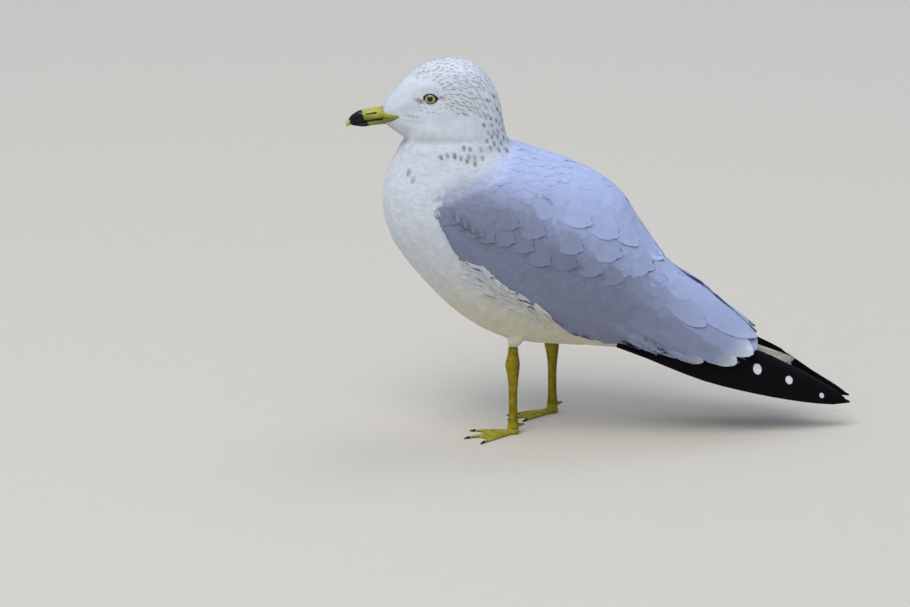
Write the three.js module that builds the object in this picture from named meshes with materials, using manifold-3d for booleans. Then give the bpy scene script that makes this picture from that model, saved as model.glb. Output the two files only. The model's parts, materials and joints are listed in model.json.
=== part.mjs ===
// A ring-billed gull standing on both feet, at life size, in millimetres.
// It faces -X with its left side towards -Y, and its soles rest on z = 0.
// It is a still model: nothing moves, and touching pieces keep a fine gap between them.
import * as THREE from "three";
import { LoftGeometry } from "three/addons/geometries/LoftGeometry.js";
import { mergeVertices } from "three/addons/utils/BufferGeometryUtils.js";
import Module from "manifold-3d";

// Driving dimensions.
const GAP = 0.3; // left between touching pieces
const MERGE_DISTANCE = 1e-3; // vertices closer than this are one vertex
const BODY_SIDES = 24;
const BODY_RINGS_PER_STATION = 2;
const BODY_SQUARENESS = 2.3; // 2 is an ellipse, more is fuller at the corners
const HEAD_EGG = 0.12; // how much narrower a section is at its top than at its bottom
const COVERT_DEPTH = 3.4; // how far the folded wing stands proud of the body
const BLADE_THICKNESS = 3.0; // folded secondaries and tertials
const PRIMARY_THICKNESS = 2.4;
const BLADE_ACROSS = 8; // steps across a blade's section
const PRIMARY_ACROSS = 5;
const TAIL_THICKNESS = 2.6;
const BLADE_EDGE = 0.25; // share of the thickness left at a blade's edges
const BLADE_STOUTNESS = 0.3; // a blade is never thicker than this share of its width
const WING_MIDLINE_GAP = 3; // half of the groove between the two wings over the back

const EYE_RADIUS = 5.6;
const EYE_SIDES = 16;
const EYE_RINGS = 10;
const EYE_CENTRE = { x: -138.8, y: 18.9, z: 287.3 };

const CUTTER_SIZE = 900;
const HEAD_CUT = { x: -121, z: 246, lean: 62 }; // the plane that parts the head from the neck
const NECK_CUT = { x: -115, z: 214, lean: 69 }; // the plane that parts the neck from the trunk

// Finishes.
const FINISHES = {
  whitePlumage: { color: 0xe9ecf2, roughness: 0.9 },
  greyPlumage: { color: 0xa9b0c6, roughness: 0.85 },
  blackPlumage: { color: 0x17161a, roughness: 0.6 },
  bill: { color: 0xc3bd62, roughness: 0.45 },
  eye: { color: 0xd8c65a, roughness: 0.1 },
  leg: { color: 0x8d8420, roughness: 0.55 },
  claw: { color: 0x1d1a15, roughness: 0.4 },
};

// Stations of the body from the face to the rump. Each one is the top and the bottom of a section in the
// middle plane, and its half width.
const BODY_STATIONS = [
  { top: [-179, 271], bottom: [-179, 270], half: 1 },
  { top: [-178, 278], bottom: [-177, 262], half: 8 },
  { top: [-170, 288], bottom: [-171, 257], half: 14 },
  { top: [-160, 300], bottom: [-163, 251], half: 17 },
  { top: [-145, 312], bottom: [-159, 247], half: 20.5 },
  { top: [-125, 317], bottom: [-161, 245], half: 23.5 },
  { top: [-104, 313], bottom: [-165, 240], half: 26 },
  { top: [-88, 296], bottom: [-169, 233], half: 28.5 },
  { top: [-81, 275], bottom: [-174, 223], half: 32 },
  { top: [-76, 248], bottom: [-178, 209], half: 38 },
  { top: [-64, 239], bottom: [-179, 189], half: 44 },
  { top: [-44, 232], bottom: [-171, 161], half: 50 },
  { top: [-21, 223], bottom: [-147, 129], half: 52 },
  { top: [0, 212], bottom: [-116, 98], half: 52 },
  { top: [20, 195], bottom: [-77, 77], half: 49 },
  { top: [35, 167], bottom: [-32, 72], half: 44 },
  { top: [53, 135], bottom: [14, 69], half: 37 },
  { top: [71, 110], bottom: [51, 58], half: 28 },
  { top: [89, 88], bottom: [83, 58], half: 19 },
  { top: [108, 72], bottom: [108, 66], half: 3 },
];
const NECK_STATION = 8; // sections grow rounder from here back

// Side outline of the folded wing where it lies on the body, from the wrist round the lower edge and back
// along the scapulars to the midline.
const COVERT_OUTLINE = [
  [-135, 203],
  [-129, 185],
  [-119, 164],
  [-105, 149],
  [-82, 134],
  [-49, 112],
  [-15, 87],
  [12, 80],
  [50, 74],
  [90, 70],
  [100, 120],
  [60, 170],
  [20, 260],
  [-60, 260],
  [-78, 226],
  [-110, 214],
];

// Sections of the free wing blade behind the body, outer surface only: the edge near the midline, the
// shoulder of the curve, and the lower edge, each as [x, y, z].
const BLADE_STATIONS = [
  { upper: [10, 5, 192], shoulder: [10, 34, 188], lower: [8, 38, 94] },
  { upper: [34, 5, 177], shoulder: [34, 39, 170], lower: [34, 44, 77] },
  { upper: [57, 5, 142], shoulder: [57, 34, 136], lower: [57, 41, 71] },
  { upper: [84, 5, 124], shoulder: [84, 30, 118], lower: [84, 38, 66] },
  { upper: [109, 6, 101], shoulder: [109, 27, 95], lower: [111, 34, 62] },
  { upper: [126, 8, 84], shoulder: [126, 24, 80], lower: [126, 30, 66] },
  { upper: [133, 9, 78], shoulder: [133, 19, 76], lower: [133, 23, 72] },
];

// Sections of the folded primaries, in the same way, from under the inner feathers to the wing tip.
const PRIMARY_STATIONS = [
  { upper: [5, 36, 81], shoulder: [5, 37, 80], lower: [5, 37, 78.5] },
  { upper: [34, 30, 86], shoulder: [34, 36, 80], lower: [34, 38, 70] },
  { upper: [68, 24, 84], shoulder: [68, 31, 78], lower: [68, 34, 58] },
  { upper: [101, 20, 78], shoulder: [101, 27, 72], lower: [101, 30, 49] },
  { upper: [127, 20, 73], shoulder: [127, 26, 68], lower: [130, 27.5, 41] },
  { upper: [151, 18, 60.5], shoulder: [151, 24, 56], lower: [151, 25, 35.5] },
  { upper: [167, 14.5, 51], shoulder: [167, 20, 46], lower: [167, 21, 30.5] },
  { upper: [184, 11, 40], shoulder: [184, 15, 36], lower: [184, 16, 25.5] },
  { upper: [200, 8.5, 30], shoulder: [200, 11, 28], lower: [200, 11.5, 22] },
  { upper: [209, 8, 23], shoulder: [209, 9, 22.5], lower: [209, 9, 21.2] },
];

// The closed tail, a low arch across.
const TAIL = {
  base: { x: 62, z: 92, half: 13 },
  tip: { x: 163, z: 56, half: 17 },
  arch: 3, // how far the outer feathers drop below the middle pair
  trail: 13, // how far the outer feathers end before the middle pair
  rings: 8,
  halfSteps: 6, // points from the middle of a section to its edge
  thinning: 0.4, // share of the thickness lost by the tip
};

// Sections of the two halves of the bill from inside the face to the tip.
const UPPER_BILL_EGG = 0.25; // the upper half is narrower at its ridge
const LOWER_BILL_EGG = -0.2; // the lower half is narrower at its keel
const BILL_LOFT = { sides: 16, perStation: 1 };
const UPPER_BILL_STATIONS = [
  { top: [-166, 276], bottom: [-166, 268.2], half: 8.0 },
  { top: [-178, 275.6], bottom: [-178, 266.2], half: 6.6 },
  { top: [-186, 274.2], bottom: [-186, 264.6], half: 5.4 },
  { top: [-193, 273.2], bottom: [-193, 263.4], half: 4.6 },
  { top: [-199, 271.6], bottom: [-199, 262.4], half: 3.9 },
  { top: [-204, 268.4], bottom: [-204.4, 260.2], half: 3.0 },
  { top: [-207.6, 264.4], bottom: [-207.4, 258.2], half: 1.9 },
  { top: [-209.4, 260.0], bottom: [-208.4, 257.8], half: 0.7 },
];
const LOWER_BILL_STATIONS = [
  { top: [-164, 267.8], bottom: [-164, 261.0], half: 7.4 },
  { top: [-178, 265.9], bottom: [-178, 260.6], half: 5.8 },
  { top: [-186, 264.3], bottom: [-186, 259.4], half: 4.6 },
  { top: [-192, 263.2], bottom: [-192, 258.3], half: 3.8 },
  { top: [-196, 262.4], bottom: [-196, 258.0], half: 3.3 },
  { top: [-201, 261.4], bottom: [-201, 258.7], half: 2.4 },
  { top: [-204.6, 259.9], bottom: [-204.6, 259.1], half: 1.0 },
];

// Sections of a leg from the top down: [x, z] from the point above its foot, how far it leans in towards the
// middle, its half depth along X and its half width.
const THIGH_STATIONS = [
  { at: [17, 106], inset: 12, deep: 17, half: 14 },
  { at: [10, 92], inset: 6, deep: 12.5, half: 10 },
  { at: [2, 81], inset: 1, deep: 7.2, half: 6.2 },
  { at: [0, 75.6], inset: 0, deep: 4.8, half: 4.2 },
];
const SHANK_STATIONS = [
  { at: [0, 75.2], inset: 0, deep: 4.1, half: 3.1 },
  { at: [0, 69], inset: 0, deep: 4.6, half: 3.2 },
  { at: [-0.3, 62], inset: 0, deep: 6.0, half: 3.9 },
  { at: [-0.4, 58], inset: 0, deep: 6.1, half: 4.0 },
  { at: [0, 51], inset: 0, deep: 4.9, half: 3.0 },
  { at: [0, 38], inset: 0, deep: 3.8, half: 2.5 },
  { at: [0, 22], inset: 0, deep: 3.7, half: 2.5 },
  { at: [0.2, 11], inset: 0, deep: 4.2, half: 3.0 },
  { at: [0.4, 5.6], inset: 0, deep: 5.2, half: 4.4 },
];

// Where each leg stands, how far its foot turns out from straight ahead, and how far its thigh leans.
// Where each leg stands, and how far its foot turns towards the left of straight ahead.
const LEGS = [
  { side: "left", ankle: [-71, -28], turn: 20, spread: 1.1 },
  { side: "right", ankle: [-38, 28], turn: 30, spread: 0.65 },
];
const TOES = [
  { name: "inner", angle: -26, reach: 31, radius: 2.3 },
  { name: "middle", angle: 0, reach: 38, radius: 2.6 },
  { name: "outer", angle: 24, reach: 34, radius: 2.3 },
];
const TOE_TIP_SHARE = 0.62; // a toe's tip radius as a share of its root's
const TOE_END_SHARE = 0.6; // how far the very end closes in
const TOE_SIDES = 8;
const TOE_RINGS = 3;
const TOE_HEIGHTS = { rootZ: 1.5, tipZ: 1.0 };
const BALL = { radius: 5, z: 2.4, long: 1.1, wide: 0.95, high: 0.75, sides: 12, rings: 8 };
// The web reaches this share of each toe, and dips by this share of its length between two toes.
const WEB = { reach: 0.86, scallop: 0.17, thickness: 1.5, heel: 3, segments: 5 };
const CLAW = { length: 5.2, taper: { rootRadius: 1.35, tipRadius: 0.5, rootZ: 1.1, tipZ: 0.4 } };
const HIND_TOE = { from: 0, to: 6.4, rootRadius: 2.4, tipRadius: 1.3, rootZ: 5, tipZ: 7.4 };
const HIND_CLAW = { from: HIND_TOE.to + GAP, to: 10.3, rootRadius: 1.1, tipRadius: 0.5, rootZ: 7.5, tipZ: 7 };

const wasm = await Module();
wasm.setup();

const rad = THREE.MathUtils.degToRad;

// A closed geometry as a solid that can be joined and cut.
function solidOf(geometry) {
  const bare = new THREE.BufferGeometry();
  bare.setAttribute("position", geometry.getAttribute("position"));
  bare.setIndex(geometry.getIndex());
  const merged = mergeVertices(bare, MERGE_DISTANCE);
  return new wasm.Manifold(
    new wasm.Mesh({
      numProp: 3,
      vertProperties: merged.attributes.position.array,
      triVerts: new Uint32Array(merged.index.array),
    }),
  );
}

function meshOf(name, solid, finish) {
  const { vertProperties, triVerts } = solid.getMesh();
  const geometry = new THREE.BufferGeometry();
  geometry.setAttribute("position", new THREE.BufferAttribute(vertProperties, 3));
  geometry.setIndex(new THREE.BufferAttribute(triVerts, 1));
  geometry.computeVertexNormals();
  const mesh = new THREE.Mesh(geometry, new THREE.MeshStandardMaterial(FINISHES[finish]));
  mesh.name = name;
  return mesh;
}

function largestBody(solid) {
  const bodies = solid.decompose();
  return bodies.reduce((best, body) => (body.volume() > best.volume() ? body : best));
}

function centreOf(section) {
  return section.reduce((sum, p) => sum.add(p), new THREE.Vector3()).divideScalar(section.length);
}

// A capped loft as a solid. Its sections are turned, where they need it, so that its faces point outwards.
function loftSolid(sections) {
  const middle = sections[Math.floor(sections.length / 2)];
  const centre = centreOf(middle);
  const normal = new THREE.Vector3();
  middle.forEach((p, i) => {
    const next = middle[(i + 1) % middle.length].clone().sub(centre);
    normal.add(p.clone().sub(centre).cross(next));
  });
  const forward = centreOf(sections.at(-1)).sub(centreOf(sections[0]));
  const turned = normal.dot(forward) > 0 ? sections : sections.map((section) => [...section].reverse());
  return solidOf(new LoftGeometry(turned, { capStart: true, capEnd: true }));
}

// A smooth run through rows of numbers, read at t from 0 to 1.
class Run {
  constructor(rows) {
    this.curves = rows[0].map((_, k) => {
      const points = rows.map((row, i) => new THREE.Vector3(i, row[k], 0));
      return new THREE.CatmullRomCurve3(points, false, "catmullrom");
    });
  }

  at(t) {
    return this.curves.map((curve) => curve.getPoint(t).y);
  }
}

// A sine or cosine that traces a fuller section than an ellipse.
function squared(value) {
  return Math.sign(value) * Math.abs(value) ** (2 / BODY_SQUARENESS);
}

// Loft through sections in planes that hold the Y axis.
function loftStations(stations, { sides = 20, perStation = 2, grow = 0, eggOf = () => 0 }) {
  const run = new Run(stations.map((s) => [...s.top, ...s.bottom, s.half]));
  const rings = (stations.length - 1) * perStation;
  const sections = [];
  for (let i = 0; i <= rings; i += 1) {
    const t = i / rings;
    const [topX, topZ, bottomX, bottomZ, half] = run.at(t);
    const axis = new THREE.Vector3(topX - bottomX, 0, topZ - bottomZ).multiplyScalar(0.5);
    const middle = new THREE.Vector3((topX + bottomX) / 2, 0, (topZ + bottomZ) / 2);
    const deep = axis.length() + grow;
    axis.normalize();
    const egg = eggOf(t);
    const section = [];
    for (let j = 0; j < sides; j += 1) {
      const angle = (j / sides) * 2 * Math.PI;
      const along = squared(Math.cos(angle));
      const across = (half + grow) * squared(Math.sin(angle)) * (1 - egg * along);
      section.push(middle.clone().addScaledVector(axis, deep * along).setY(across));
    }
    sections.push(section);
  }
  return loftSolid(sections);
}

function bodyForm(grow = 0) {
  return loftStations(BODY_STATIONS, {
    sides: BODY_SIDES,
    perStation: BODY_RINGS_PER_STATION,
    grow,
    eggOf: (t) => HEAD_EGG * THREE.MathUtils.clamp(1 - (t * (BODY_STATIONS.length - 1)) / NECK_STATION, 0, 1),
  });
}

// Everything on the rump's side of a leaning plane through the body.
function behindPlane({ x, z, lean }, shift) {
  const box = new THREE.BoxGeometry(CUTTER_SIZE, CUTTER_SIZE, CUTTER_SIZE);
  box.translate(CUTTER_SIZE / 2 + shift, 0, 0);
  box.rotateY(rad(lean));
  box.translate(x, 0, z);
  return solidOf(box);
}

function belowLevel(z) {
  const box = new THREE.BoxGeometry(CUTTER_SIZE, CUTTER_SIZE, CUTTER_SIZE);
  box.translate(0, 0, z - CUTTER_SIZE / 2);
  return solidOf(box);
}

// Half of space on one side of the middle plane: sign -1 is the left.
function sideSpace(sign, clear) {
  const box = new THREE.BoxGeometry(CUTTER_SIZE, CUTTER_SIZE, CUTTER_SIZE);
  box.translate(0, sign * (CUTTER_SIZE / 2 + clear), 0);
  return solidOf(box);
}

// A thin curved blade: each section's outer face is a curve from the upper edge by the shoulder to the
// lower edge, and its inner face lies inside it.
function bladeForm(stations, { sign, thickness, across = BLADE_ACROSS, perStation = 2, grow = 0 }) {
  const run = new Run(stations.map((s) => [...s.upper, ...s.shoulder, ...s.lower]));
  const rings = (stations.length - 1) * perStation;
  const sections = [];
  for (let i = 0; i <= rings; i += 1) {
    const n = run.at(i / rings);
    const curve = new THREE.QuadraticBezierCurve3(
      new THREE.Vector3(n[0], n[1], n[2]),
      new THREE.Vector3(n[3], n[4], n[5]),
      new THREE.Vector3(n[6], n[7], n[8]),
    );
    const full = Math.min(thickness, BLADE_STOUTNESS * curve.v0.distanceTo(curve.v2));
    const outer = [];
    const inner = [];
    for (let j = 0; j <= across; j += 1) {
      const s = j / across;
      const point = curve.getPoint(s);
      const tangent = curve.getTangent(s);
      const outward = new THREE.Vector3(0, -tangent.z, tangent.y).normalize();
      const depth = full * (BLADE_EDGE + (1 - BLADE_EDGE) * Math.sqrt(4 * s * (1 - s)));
      outer.push(point.clone().addScaledVector(outward, grow));
      inner.push(point.clone().addScaledVector(outward, -depth - grow));
    }
    const ring = [...outer, ...inner.reverse()];
    ring.forEach((p) => p.setY(p.y * sign));
    sections.push(ring);
  }
  return loftSolid(sections);
}

function wingForm(sign, grow = 0) {
  const outline = new THREE.Shape(COVERT_OUTLINE.map(([x, z]) => new THREE.Vector2(x, z)));
  const prism = new THREE.ExtrudeGeometry(outline, { depth: CUTTER_SIZE / 2, bevelEnabled: false });
  prism.rotateX(Math.PI / 2);
  if (sign > 0) prism.translate(0, CUTTER_SIZE / 2, 0);
  const coverts = bodyForm(COVERT_DEPTH + grow).intersect(solidOf(prism));
  return coverts.add(bladeForm(BLADE_STATIONS, { sign, thickness: BLADE_THICKNESS, grow }));
}

function tailForm() {
  const { base, tip, arch, trail, rings, halfSteps, thinning } = TAIL;
  const sections = [];
  for (let i = 0; i <= rings; i += 1) {
    const t = i / rings;
    const x = THREE.MathUtils.lerp(base.x, tip.x, t);
    const z = THREE.MathUtils.lerp(base.z, tip.z, t);
    const width = THREE.MathUtils.lerp(base.half, tip.half, Math.sqrt(t));
    const upper = [];
    const lower = [];
    for (let j = -halfSteps; j <= halfSteps; j += 1) {
      const s = j / halfSteps;
      const trailing = trail * s * s * t * t;
      const drop = arch * s * s;
      const edge = BLADE_EDGE + (1 - BLADE_EDGE) * Math.sqrt(1 - s * s);
      const depth = TAIL_THICKNESS * edge * (1 - thinning * t);
      upper.push(new THREE.Vector3(x - trailing, s * width, z - drop));
      lower.push(new THREE.Vector3(x - trailing, s * width, z - drop - depth));
    }
    sections.push([...upper, ...lower.reverse()]);
  }
  return loftSolid(sections);
}

// Upright limb through rings at [x, z], each with its depth along X and its half width.
function limbForm(stations, x0, y0, { sides = 12, perStation = 2, grow = 0 } = {}) {
  const run = new Run(stations.map((s) => [...s.at, s.inset, s.deep, s.half]));
  const rings = (stations.length - 1) * perStation;
  const sections = [];
  for (let i = 0; i <= rings; i += 1) {
    const [x, z, inset, deep, half] = run.at(i / rings);
    const y = y0 - Math.sign(y0) * inset;
    const section = [];
    for (let j = 0; j < sides; j += 1) {
      const angle = (-j / sides) * 2 * Math.PI;
      const alongX = x0 + x + (deep + grow) * Math.cos(angle);
      section.push(new THREE.Vector3(alongX, y + (half + grow) * Math.sin(angle), z - grow));
    }
    sections.push(section);
  }
  return loftSolid(sections);
}

// A toe or claw that runs out from a foot's middle, from one distance to another, thinner at its tip.
function taperForm({ x, y, angle, from, to, rootRadius, tipRadius, rootZ, tipZ }) {
  const ahead = new THREE.Vector3(-Math.cos(rad(angle)), -Math.sin(rad(angle)), 0);
  const across = new THREE.Vector3(-ahead.y, ahead.x, 0);
  const sections = [];
  for (let i = 0; i <= TOE_RINGS; i += 1) {
    const t = i / TOE_RINGS;
    const radius = THREE.MathUtils.lerp(rootRadius, tipRadius, t) * (i === TOE_RINGS ? TOE_END_SHARE : 1);
    const middle = new THREE.Vector3(x, y, THREE.MathUtils.lerp(rootZ, tipZ, t));
    middle.addScaledVector(ahead, THREE.MathUtils.lerp(from, to, t));
    const section = [];
    for (let j = 0; j < TOE_SIDES; j += 1) {
      const around = (j / TOE_SIDES) * 2 * Math.PI;
      const point = middle.clone().addScaledVector(across, radius * Math.cos(around));
      section.push(point.setZ(middle.z + radius * Math.sin(around)));
    }
    sections.push(section);
  }
  return loftSolid(sections);
}

// The web as one flat plate: its front edge dips between the toes.
function webForm({ x, y, angles }) {
  const shape = new THREE.Shape();
  const tips = TOES.map((toe, i) => {
    const reach = toe.reach * WEB.reach;
    return new THREE.Vector2(-Math.cos(rad(angles[i])), -Math.sin(rad(angles[i]))).multiplyScalar(reach);
  });
  shape.moveTo(WEB.heel, 0);
  shape.lineTo(tips[0].x, tips[0].y);
  for (let i = 1; i < tips.length; i += 1) {
    const dip = tips[i - 1].clone().add(tips[i]).multiplyScalar(0.5 * (1 - WEB.scallop));
    shape.quadraticCurveTo(dip.x, dip.y, tips[i].x, tips[i].y);
  }
  shape.closePath();
  const plate = new THREE.ExtrudeGeometry(shape, {
    depth: WEB.thickness,
    bevelEnabled: false,
    curveSegments: WEB.segments,
  });
  plate.translate(x, y, 0);
  return solidOf(plate);
}

function footPieces({ side, ankle, turn, spread }) {
  const [x, y] = ankle;
  const outward = side === "left" ? 1 : -1;
  const angles = TOES.map((toe) => turn + toe.angle * outward * spread);
  const floor = belowLevel(0);
  const ball = new THREE.SphereGeometry(BALL.radius, BALL.sides, BALL.rings);
  ball.scale(BALL.long, BALL.wide, BALL.high);
  ball.translate(x, y, BALL.z);
  const hindToe = taperForm({ x, y, angle: turn + 180, ...HIND_TOE });
  let foot = solidOf(ball).add(webForm({ x, y, angles })).add(hindToe);
  const claws = [];
  TOES.forEach((toe, i) => {
    const place = { x, y, angle: angles[i] };
    const tipRadius = toe.radius * TOE_TIP_SHARE;
    const form = taperForm({
      ...place, from: 0, to: toe.reach, rootRadius: toe.radius, tipRadius, ...TOE_HEIGHTS,
    });
    const clawStart = toe.reach + GAP;
    const claw = taperForm({ ...place, from: clawStart, to: clawStart + CLAW.length, ...CLAW.taper });
    foot = foot.add(form);
    claws.push({ name: `claw_${side}_${toe.name}`, solid: claw.subtract(floor) });
  });
  const hindClaw = taperForm({ x, y, angle: turn + 180, ...HIND_CLAW });
  claws.push({ name: `claw_${side}_hind`, solid: hindClaw });
  return { foot: foot.subtract(floor), claws };
}

function addHeadNeckTrunk(group) {
  const form = bodyForm();
  const behindHead = behindPlane(HEAD_CUT, 0);
  const behindHeadGap = behindPlane(HEAD_CUT, GAP);
  const behindNeck = behindPlane(NECK_CUT, 0);
  const behindNeckGap = behindPlane(NECK_CUT, GAP);
  let head = form.subtract(behindHead);
  const neck = form.intersect(behindHeadGap).subtract(behindNeck);
  const trunk = form.intersect(behindNeckGap);
  for (const sign of [-1, 1]) {
    const socket = new THREE.SphereGeometry(EYE_RADIUS + GAP, EYE_SIDES, EYE_RINGS);
    socket.translate(EYE_CENTRE.x, sign * EYE_CENTRE.y, EYE_CENTRE.z);
    head = head.subtract(solidOf(socket));
    const ball = new THREE.SphereGeometry(EYE_RADIUS, EYE_SIDES, EYE_RINGS);
    ball.translate(EYE_CENTRE.x, sign * EYE_CENTRE.y, EYE_CENTRE.z);
    group.add(meshOf(sign < 0 ? "eye_left" : "eye_right", solidOf(ball), "eye"));
  }
  group.add(meshOf("head", largestBody(head), "whitePlumage"));
  group.add(meshOf("neck", largestBody(neck), "whitePlumage"));
  group.add(meshOf("trunk", largestBody(trunk), "whitePlumage"));
}

function addBill(group, bodyClear) {
  const upper = loftStations(UPPER_BILL_STATIONS, { eggOf: () => UPPER_BILL_EGG, ...BILL_LOFT });
  const lower = loftStations(LOWER_BILL_STATIONS, { eggOf: () => LOWER_BILL_EGG, ...BILL_LOFT });
  group.add(meshOf("bill_upper", largestBody(upper.subtract(bodyClear)), "bill"));
  group.add(meshOf("bill_lower", largestBody(lower.subtract(bodyClear)), "bill"));
}

function addWingsAndTail(group, bodyClear) {
  let tail = tailForm().subtract(bodyClear);
  for (const [side, sign] of [["left", -1], ["right", 1]]) {
    const wingClear = wingForm(sign, GAP);
    const wing = wingForm(sign).subtract(bodyClear).intersect(sideSpace(sign, WING_MIDLINE_GAP));
    const primaryShape = { sign, thickness: PRIMARY_THICKNESS, across: PRIMARY_ACROSS };
    const primaries = bladeForm(PRIMARY_STATIONS, primaryShape);
    const freePrimaries = primaries.subtract(bodyClear).subtract(wingClear);
    tail = tail.subtract(wingClear);
    group.add(meshOf(`wing_${side}`, largestBody(wing), "greyPlumage"));
    group.add(meshOf(`primaries_${side}`, largestBody(freePrimaries), "blackPlumage"));
  }
  group.add(meshOf("tail", largestBody(tail), "whitePlumage"));
}

function addLegs(group, bodyClear) {
  for (const leg of LEGS) {
    const [x, y] = leg.ankle;
    const { foot, claws } = footPieces(leg);
    const thigh = limbForm(THIGH_STATIONS, x, y);
    const shank = limbForm(SHANK_STATIONS, x, y);
    const shankClear = limbForm(SHANK_STATIONS, x, y, { grow: GAP });
    const freed = thigh.subtract(bodyClear).subtract(wingForm(leg.side === "left" ? -1 : 1, GAP));
    group.add(meshOf(`thigh_${leg.side}`, largestBody(freed), "whitePlumage"));
    group.add(meshOf(`shank_${leg.side}`, shank, "leg"));
    group.add(meshOf(`foot_${leg.side}`, largestBody(foot.subtract(shankClear)), "leg"));
    claws.forEach((claw) => group.add(meshOf(claw.name, claw.solid, "claw")));
  }
}

const group = new THREE.Group();
const bodyClear = bodyForm(GAP);
addHeadNeckTrunk(group);
addBill(group, bodyClear);
addWingsAndTail(group, bodyClear);
addLegs(group, bodyClear);

export default group;
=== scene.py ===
"""A life-size ring-billed gull, standing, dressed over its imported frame.

The bird faces -X with its left side towards -Y, and stands on z = 0. One skin is shrunk from the
frame's flesh, and feathers of solid vanes are laid over it, following the way the plumage lies.
"""

from __future__ import annotations

import json
import logging
import math
from dataclasses import dataclass
from enum import Enum
from typing import Callable, Sequence

import bmesh
import bpy
import numpy as np
from mathutils import Matrix, Vector
from mathutils.bvhtree import BVHTree
from mathutils.kdtree import KDTree

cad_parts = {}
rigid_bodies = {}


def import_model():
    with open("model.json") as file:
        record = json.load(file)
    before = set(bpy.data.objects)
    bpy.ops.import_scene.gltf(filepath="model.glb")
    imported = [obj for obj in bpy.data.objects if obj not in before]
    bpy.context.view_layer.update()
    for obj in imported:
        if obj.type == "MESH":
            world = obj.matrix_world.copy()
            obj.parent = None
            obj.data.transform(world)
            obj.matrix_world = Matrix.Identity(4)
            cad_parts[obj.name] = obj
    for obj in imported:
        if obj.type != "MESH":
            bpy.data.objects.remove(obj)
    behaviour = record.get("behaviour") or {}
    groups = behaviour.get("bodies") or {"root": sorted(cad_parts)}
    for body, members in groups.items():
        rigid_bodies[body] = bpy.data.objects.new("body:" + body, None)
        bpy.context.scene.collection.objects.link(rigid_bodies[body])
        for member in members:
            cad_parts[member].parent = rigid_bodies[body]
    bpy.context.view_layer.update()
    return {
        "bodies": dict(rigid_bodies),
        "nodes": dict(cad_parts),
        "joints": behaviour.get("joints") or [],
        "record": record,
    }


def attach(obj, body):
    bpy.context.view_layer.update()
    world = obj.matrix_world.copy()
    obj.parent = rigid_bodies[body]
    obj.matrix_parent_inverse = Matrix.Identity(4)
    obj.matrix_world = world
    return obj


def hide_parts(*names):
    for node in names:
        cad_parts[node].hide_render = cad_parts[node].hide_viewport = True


log = logging.getLogger("gull")

Array = np.ndarray
Material = bpy.types.Material
Mesh = bpy.types.Mesh
Socket = bpy.types.NodeSocket
Pair = tuple[float, float]
Triple = tuple[float, float, float]

MM = 0.001
WELD = 0.001 * MM  # vertices nearer than this are one
BODY = "root"
MARKINGS = "Markings"
VANE_MAP = "Vane"
BAKE_MAP = "OFBake"
LOOK_DOWN = math.radians(18.0)  # the side sheet leans back by this much


class Side(Enum):
    """A side of the bird, by the sign of its y."""

    LEFT = -1
    RIGHT = 1

    @property
    def word(self) -> str:
        """The side's name as it stands in node names."""
        return self.name.lower()


# Small maths.


def smoothstep(low: float, high: float, value: Array | float) -> Array:
    """Eases from 0 at low to 1 at high.

    Args:
        low: Where the ramp starts.
        high: Where the ramp ends.
        value: The numbers to ease.

    Returns:
        The eased numbers.
    """
    share = np.clip((np.asarray(value, float) - low) / (high - low), 0.0, 1.0)
    return share * share * (3.0 - 2.0 * share)


def unit(vectors: Array) -> Array:
    """Scales vectors along the last axis to length 1."""
    return vectors / np.maximum(np.linalg.norm(vectors, axis=-1, keepdims=True), 1e-12)


def flattened(vectors: Array, normals: Array) -> Array:
    """Lays vectors in the planes square to the normals, and scales them to length 1."""
    along = (vectors * normals).sum(-1, keepdims=True)
    return unit(vectors - normals * along)


def mixed(first: object, second: object, share: Array | float) -> Array:
    """Blends from the first value, at share 0, to the second, at share 1."""
    return np.asarray(first) * (1 - share) + np.asarray(second) * share


def curve_through(knots: Sequence[Sequence[float]], count: int) -> Array:
    """Samples a smooth curve through knots.

    Args:
        knots: The points that the curve passes through.
        count: How many points to return.

    Returns:
        An array of count points, even along the knots' numbering.
    """
    p = np.asarray(knots, float)
    p = np.vstack([2 * p[0] - p[1], p, 2 * p[-1] - p[-2]])
    t = np.linspace(0, len(p) - 3 - 1e-9, count)
    i = t.astype(int)
    f = (t - i)[:, None]
    a, b, c, d = p[i], p[i + 1], p[i + 2], p[i + 3]
    square = 2 * a - 5 * b + 4 * c - d
    cube = 3 * b - a - 3 * c + d
    return 0.5 * (2 * b + (c - a) * f + square * f**2 + cube * f**3)


def thinned(points: Array, order: Sequence[int], apart: Array) -> Array:
    """Picks points in order, leaving out those too near to an earlier one.

    Args:
        points: The places.
        order: The indices of the places to try, in turn.
        apart: How far each picked place keeps others off, in metres, or 0 where none is wanted.

    Returns:
        The indices of the places picked.
    """
    tree = KDTree(len(order))
    for i in order:
        tree.insert(points[i], int(i))
    tree.balance()
    free = np.ones(len(points), bool)
    picked = []
    for i in order:
        if free[i] and apart[i] > 0:
            picked.append(i)
            for _, j, _ in tree.find_range(points[i], apart[i]):
                free[j] = False
    return np.array(picked, int)


# Meshes.


def meshed(bm: bmesh.types.BMesh) -> Mesh:
    """Makes a mesh of a bmesh, which is freed."""
    mesh = bpy.data.meshes.new("shape")
    bm.to_mesh(mesh)
    bm.free()
    return mesh


def linked(name: str, data: bpy.types.ID) -> bpy.types.Object:
    """Puts data in the scene as an object."""
    made = bpy.data.objects.new(name, data)
    bpy.context.scene.collection.objects.link(made)
    return made


def joined_copy(nodes: Sequence[bpy.types.Object]) -> Mesh:
    """Copies frame nodes into one mesh with its loose triangles merged.

    Args:
        nodes: The frame's nodes, which stay as they are.

    Returns:
        The new mesh.
    """
    bm = bmesh.new()
    for node in nodes:
        bm.from_mesh(node.data)
    bmesh.ops.remove_doubles(bm, verts=bm.verts, dist=WELD)
    return meshed(bm)


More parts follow.
